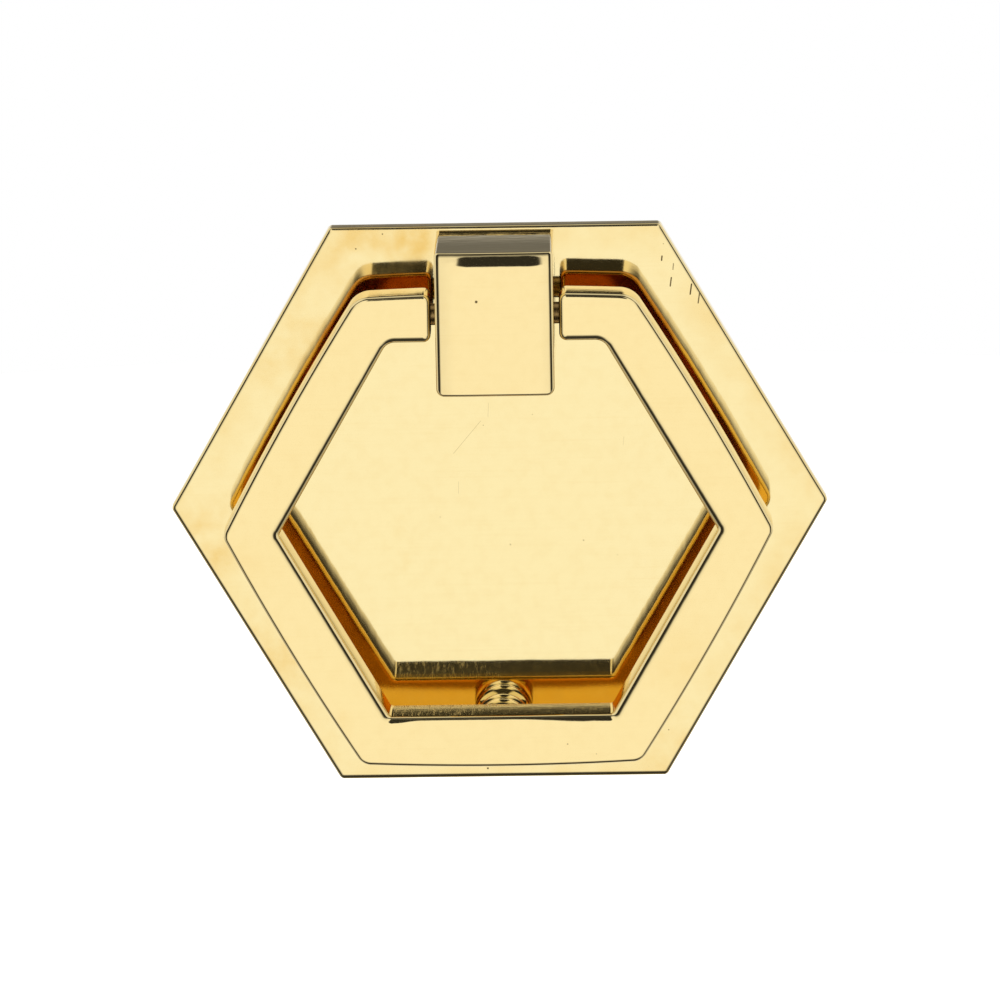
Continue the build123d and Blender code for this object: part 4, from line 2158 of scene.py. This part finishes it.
@dataclass
class FixingThread:
    """Thread of the fixing hole, a 4 mm metric coarse one."""

    pitch: float = 0.7 * MM
    root_radius: float = 2.02 * MM
    crest_radius: float = 1.65 * MM
    root_width: float = 0.6 * MM
    crest_width: float = 0.1 * MM
    start: float = 0.4 * MM
    end: float = 5.0 * MM
    segments: int = 40

    def build(self, trees: PathTrees, finish: Material) -> Object:
        """Makes the thread in the fixing hole.

        Args:
            trees: The Geometry Nodes trees.
            finish: Its material.

        Returns:
            The thread.
        """
        length = self.end - self.start
        values = {
            "Segments": self.segments,
            "Turns": length / self.pitch,
            "Length": length,
            "Radius": (self.root_radius + self.crest_radius) / 2.0,
            "Ridge Height": self.root_radius - self.crest_radius,
            "Root Width": self.root_width,
            "Crest Width": self.crest_width,
            **placing((QUARTER_TURN, 0.0, 0.0), FRONT * self.start, finish),
        }
        return grow("fixing_thread", bpy.data.meshes.new("thread_seed"), trees.thread, values)


@dataclass(frozen=True)
class Panel:
    """One panel of the light tent, seen from the pull.

    Attributes:
        azimuth: Direction of its middle, 0 in front and positive to the right.
        elevation: Height of its middle.
        half_width: Half of its width.
        half_height: Half of its height.
        level: Brightness, 1 is white.
        softness: Width of its soft rim.
        corner: Radius of its corners.
    """

    azimuth: float
    elevation: float
    half_width: float
    half_height: float
    level: float
    softness: float = 3.0
    corner: float = 5.0


@dataclass
class LightTent:
    """Pale tent round the pull, with white screens and dark flags that the polished brass mirrors."""

    colour: Triple = (1.0, 1.0, 1.0)
    pale_level: float = 0.85
    panels: tuple[Panel, ...] = (
        Panel(92.0, -58.0, 62.0, 38.0, 0.42, 36.0, 20.0),
        Panel(-92.0, -58.0, 62.0, 38.0, 0.42, 36.0, 20.0),
        Panel(0.0, 60.0, 32.0, 50.0, 0.04, 10.0),
        Panel(180.0, 45.0, 22.0, 35.0, 0.04, 10.0),
        Panel(0.0, 80.0, 200.0, 12.0, 0.7, 8.0),
        Panel(180.0, 22.0, 22.0, 9.0, 0.22, 14.0, 8.0),
        Panel(180.0, -27.0, 55.0, 27.0, 0.95, 8.0),
        Panel(0.0, -12.0, 30.0, 62.0, 0.03, 6.0),
        Panel(0.0, -4.0, 15.5, 34.0, 0.97, 8.0),
        Panel(0.0, -10.0, 8.0, 28.0, 1.07, 6.0),
        Panel(0.0, -50.0, 40.0, 26.7, 0.04, 10.0, 8.0),
        Panel(1.0, 18.25, 5.5, 11.75, 0.03, 2.0, 5.4),
    )

    def covered(self, wires: Wires, panel: Panel, azimuth: object, elevation: object) -> NodeSocket:
        """How far a direction lies on a panel.

        Args:
            wires: Tree to add to.
            panel: The panel.
            azimuth: Azimuth of the direction.
            elevation: Elevation of the direction.

        Returns:
            1 on the panel and 0 off it.
        """
        turn = wires.math("SUBTRACT", azimuth, panel.azimuth)
        aside = wires.math("ABSOLUTE", wires.math("WRAP", turn, HALF_TURN, -HALF_TURN))
        above = wires.math("ABSOLUTE", wires.math("SUBTRACT", elevation, panel.elevation))
        wide = wires.math("MAXIMUM", wires.math("SUBTRACT", aside, panel.half_width - panel.corner), 0.0)
        high = wires.math("MAXIMUM", wires.math("SUBTRACT", above, panel.half_height - panel.corner), 0.0)
        rim = panel.softness / 2.0
        return wires.ramp(wires.length(wide, high), panel.corner - rim, panel.corner + rim, 1.0, 0.0)

    def build(self) -> None:
        """Sets the scene's world: the tent for light and reflections, plain white behind the pull."""
        world = bpy.data.worlds.new("light_tent")
        bpy.context.scene.world = world
        world.use_nodes = True
        world.node_tree.nodes.clear()
        wires = Wires(world.node_tree)
        across, depth, height = wires.parts(wires.node("ShaderNodeTexCoord").outputs["Generated"])
        forward = wires.math("MULTIPLY", depth, -1.0)
        azimuth = wires.math("DEGREES", wires.math("ARCTAN2", across, forward))
        elevation = wires.math("DEGREES", wires.math("ARCSINE", height))
        level: object = self.pale_level
        for panel in self.panels:
            share = self.covered(wires, panel, azimuth, elevation)
            change = wires.math("SUBTRACT", panel.level, level)
            level = wires.math("MULTIPLY_ADD", change, share, level)
        path = wires.node("ShaderNodeLightPath")
        seen = wires.math("MAXIMUM", level, path.outputs["Is Camera Ray"])
        light = wires.node("ShaderNodeBackground")
        light.inputs["Color"].default_value = opaque(self.colour)
        wires.feed(light.inputs["Strength"], seen)
        output = wires.node("ShaderNodeOutputWorld")
        wires.feed(output.inputs["Surface"], light.outputs[0])


@dataclass
class PhotoCamera:
    """Long lens that looks down on the pull's front."""

    plate_front: float
    target_x: float = 0.08 * MM
    target_z: float = -23.753 * MM
    distance: float = 952.0 * MM
    azimuth: float = 1.03
    elevation: float = 14.25
    roll: float = -1.03
    lens: float = 295.5
    sensor: float = 36.0
    clip_factor: float = 100.0

    def build(self) -> None:
        """Adds the camera and makes it the scene's own."""
        level = ray(self.elevation)
        turned = ray(self.azimuth)
        back = Vector((turned.y * level.x, -turned.x * level.x, level.y))
        right = UP.cross(back).normalized()
        up = back.cross(right)
        rolled = ray(self.roll)
        across = right * rolled.x + up * rolled.y
        upward = up * rolled.x - right * rolled.y
        lens = bpy.data.cameras.new("photo_camera")
        lens.lens = self.lens
        lens.sensor_width = self.sensor
        lens.clip_start = self.distance / self.clip_factor
        lens.clip_end = self.distance * self.clip_factor
        camera = placed("photo_camera", lens)
        eye = Vector((self.target_x, self.plate_front, self.target_z)) + back * self.distance
        turn = Matrix((across, upward, back)).transposed()
        camera.matrix_world = Matrix.Translation(eye) @ turn.to_4x4()
        bpy.context.scene.camera = camera


@dataclass
class Floor:
    """Pale floor under the pull, white where nothing shades it."""

    radius: float = 350.0 * MM
    drop: float = 30.0 * MM
    steps: int = 96
    colour: Triple = (0.8, 0.8, 0.8)
    lift: float = 1.0

    def finish(self) -> Material:
        """Pale matt paint that camera rays see as white, and that vanishes from below.

        Returns:
            The material.
        """
        made = bpy.data.materials.new("floor_white")
        made.use_nodes = True
        made.node_tree.nodes.clear()
        wires = Wires(made.node_tree)
        matt = wires.node("ShaderNodeBsdfDiffuse")
        matt.inputs["Color"].default_value = opaque(self.colour)
        path = wires.node("ShaderNodeLightPath")
        glow = wires.node("ShaderNodeEmission")
        wires.feed(glow.inputs["Strength"], wires.math("MULTIPLY", path.outputs["Is Camera Ray"], self.lift))
        both = wires.node("ShaderNodeAddShader")
        wires.feed(both.inputs[0], matt.outputs[0])
        wires.feed(both.inputs[1], glow.outputs[0])
        clear = wires.node("ShaderNodeBsdfTransparent")
        sides = wires.node("ShaderNodeNewGeometry")
        shown = wires.node("ShaderNodeMixShader")
        wires.feed(shown.inputs[0], sides.outputs["Backfacing"])
        wires.feed(shown.inputs[1], both.outputs[0])
        wires.feed(shown.inputs[2], clear.outputs[0])
        output = wires.node("ShaderNodeOutputMaterial")
        wires.feed(output.inputs["Surface"], shown.outputs[0])
        return made

    def build(self, bounds: tuple[Vector, Vector]) -> None:
        """Lays the floor.

        Args:
            bounds: Lowest and highest corner of the pull.
        """
        mesh = bpy.data.meshes.new("floor")
        shape = bmesh.new()
        bmesh.ops.create_circle(shape, cap_ends=True, radius=self.radius, segments=self.steps)
        middle = (bounds[0] + bounds[1]) / 2.0
        bmesh.ops.translate(shape, verts=shape.verts, vec=(middle.x, middle.y, bounds[0].z - self.drop))
        shape.to_mesh(mesh)
        shape.free()
        mesh.materials.append(self.finish())
        floor = placed("floor", mesh)
        floor.visible_glossy = False
        floor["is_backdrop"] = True


PLATE_CLOUDS = (
    Cloud(-9.5 * MM, 7.0 * MM, 4.0 * MM, 1.5),
    Cloud(-15.5 * MM, 6.2 * MM, 8.0 * MM, 0.9),
    Cloud(-25.0 * MM, -4.0 * MM, 10.0 * MM, 0.7),
    Cloud(-34.0 * MM, -28.0 * MM, 8.0 * MM, 0.9),
    Cloud(-26.0 * MM, -42.0 * MM, 13.0 * MM, 0.65),
    Cloud(19.0 * MM, -53.0 * MM, 9.0 * MM, 0.65),
)
RING_CLOUDS = (
    Cloud(22.0 * MM, -40.5 * MM, 8.0 * MM, 0.75),
    Cloud(-28.0 * MM, -27.5 * MM, 7.0 * MM, 0.4),
)
PLATE_MARKS = (
    Mark(19.2 * MM, 4.7 * MM, 0.11 * MM, 0.25 * MM, 6.0, 0.95),
    Mark(20.5 * MM, 3.7 * MM, 0.09 * MM, 0.35 * MM, 6.0, 0.6),
    Mark(20.2 * MM, 1.9 * MM, 0.11 * MM, 0.5 * MM, 8.0, 0.85),
    Mark(22.5 * MM, 1.0 * MM, 0.11 * MM, 0.6 * MM, 8.0, 0.95),
    Mark(23.4 * MM, -0.1 * MM, 0.1 * MM, 0.55 * MM, 8.0, 0.8),
    Mark(19.4 * MM, 6.4 * MM, 0.09 * MM, depth=0.5),
    Mark(-16.0 * MM, 6.3 * MM, 0.12 * MM, depth=0.8),
    Mark(-12.9 * MM, 8.0 * MM, 0.12 * MM, depth=0.7),
    Mark(1.2 * MM, -29.1 * MM, 0.1 * MM, depth=0.55),
    Mark(9.7 * MM, -28.7 * MM, 0.1 * MM, depth=0.55),
    Mark(-1.9 * MM, -56.1 * MM, 0.16 * MM, depth=0.9),
    Mark(19.3 * MM, -51.7 * MM, 0.11 * MM, depth=0.5),
    Mark(-3.6 * MM, -16.2 * MM, 0.06 * MM, 2.5 * MM, 40.0, 0.22),
    Mark(-1.1 * MM, -13.0 * MM, 0.06 * MM, 0.8 * MM, 3.0, 0.16),
    Mark(-4.7 * MM, -22.2 * MM, 0.06 * MM, 0.7 * MM, 2.0, 0.16),
    Mark(14.5 * MM, -16.9 * MM, 0.06 * MM, 0.5 * MM, 6.0, 0.14),
    Mark(-1.7 * MM, -14.8 * MM, 0.1 * MM, depth=0.35),
    Mark(4.0 * MM, -13.6 * MM, 0.09 * MM, depth=0.3),
    Mark(-6.9 * MM, -25.7 * MM, 0.1 * MM, depth=0.3),
    Mark(13.6 * MM, -30.5 * MM, 0.08 * MM, depth=0.3),
)
BRACKET_MARKS = (Mark(-2.0 * MM, 2.67 * MM, 0.22 * MM, depth=0.9),)
RING_MARKS = (
    Mark(7.6 * MM, -49.7 * MM, 0.13 * MM, depth=0.45),
    Mark(10.9 * MM, -50.9 * MM, 0.11 * MM, depth=0.3),
)
PLATE_COLOUR = (0.93, 0.78, 0.41)
BRACKET_COLOUR = (0.93, 0.75, 0.375)
RING_COLOUR = (0.93, 0.75, 0.37)
STUD_COLOUR = (0.92, 0.75, 0.38)
# Pin colour darkened far below brass: painted shade of the hinge gap that the pin sits in.
PIN_SHADED_COLOUR = (0.42, 0.27, 0.1)
STUD_ROUGHNESS = 0.07
PIN_ROUGHNESS = 0.34
LATHE_LINES = 0.3 * MICRON
# How far the painted hinge shade reaches past the walls of the hinge gap.
HINGE_SHADE_DEPTH = 0.06 * MM
MIRROR_BOUNCES = 24


def make_finishes(hinge: Vector, ring: DropRing) -> dict[Slot, Material]:
    """Builds the brass of every piece.

    Args:
        hinge: Middle of the hinge.
        ring: The ring, for its ends and its lean.

    Returns:
        The materials by slot.
    """
    axis = tuple(hinge)
    plate_low, plate_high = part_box("backplate")
    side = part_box("bracket")[1].x
    finishes = (
        PlateBrass(
            Slot.PLATE,
            PLATE_COLOUR,
            clouds=PLATE_CLOUDS,
            marks=PLATE_MARKS,
            front_limit=plate_low.y / 2.0,
            middle=(plate_low.z + plate_high.z) / 2.0,
            apothem=(plate_high.z - plate_low.z) / 2.0,
        ),
        BrassFinish(
            Slot.BRACKET,
            BRACKET_COLOUR,
            marks=BRACKET_MARKS,
            front_limit=hinge.y,
            # Painted shade on the bracket's walls beside the hinge gap.
            hinge_shade=HingeShade(axis, side - HINGE_SHADE_DEPTH, side + HINGE_SHADE_DEPTH),
        ),
        RingBrass(
            Slot.RING,
            RING_COLOUR,
            clouds=RING_CLOUDS,
            marks=RING_MARKS,
            front_limit=hinge.y,
            # Painted shade on the ring's ends in the hinge gap.
            hinge_shade=HingeShade(axis, 0.0, ring.end_x + HINGE_SHADE_DEPTH),
            hinge=axis,
            facing=tuple(upright(hinge, ring.lean).to_3x3().col[2]),
        ),
        BrassFinish(Slot.STUD, STUD_COLOUR, STUD_ROUGHNESS, line_height=LATHE_LINES),
        BrassFinish(Slot.PIN, PIN_SHADED_COLOUR, PIN_ROUGHNESS, line_height=LATHE_LINES),
    )
    effects = SurfaceEffects()
    return {finish.slot: finish.material(effects) for finish in finishes}


def main() -> None:
    """Builds and dresses every piece, then the tent, floor and camera."""
    logging.basicConfig(level=logging.INFO, format="%(name)s: %(message)s")
    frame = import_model()
    cad_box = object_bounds()
    scene = bpy.context.scene
    scene.view_settings.view_transform = "Standard"
    scene.cycles.max_bounces = MIRROR_BOUNCES
    scene.cycles.glossy_bounces = MIRROR_BOUNCES
    hinge = Vector(frame["joints"][0]["pos_m"])
    PhotoCamera(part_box("backplate")[0].y).build()
    LightTent().build()
    Floor().build(cad_box)
    trees = PathTrees()
    seats = Seats()
    ring = DropRing()
    finishes = make_finishes(hinge, ring)
    plate = Backplate(seats, middle_of("stop_stud").z).build()
    dress(plate, finishes, Body.BASE, Slot.PLATE, "backplate")
    dress(Bracket(seats).build(), finishes, Body.BASE, Slot.BRACKET, "bracket")
    thread = FixingThread().build(trees, finishes[Slot.BRACKET])
    dress(thread, finishes, Body.BASE, Slot.BRACKET)
    dress(ring.build(hinge), finishes, Body.RING, Slot.RING, "drop_ring")
    stud = StopStud(seats).part().build(trees, finishes[Slot.STUD])
    dress(stud, finishes, Body.BASE, Slot.STUD, "stop_stud")
    pin = HingePin().part().build(trees, finishes[Slot.PIN])
    dress(pin, finishes, Body.BASE, Slot.PIN, "hinge_pin")


if __name__ == "__main__":
    main()
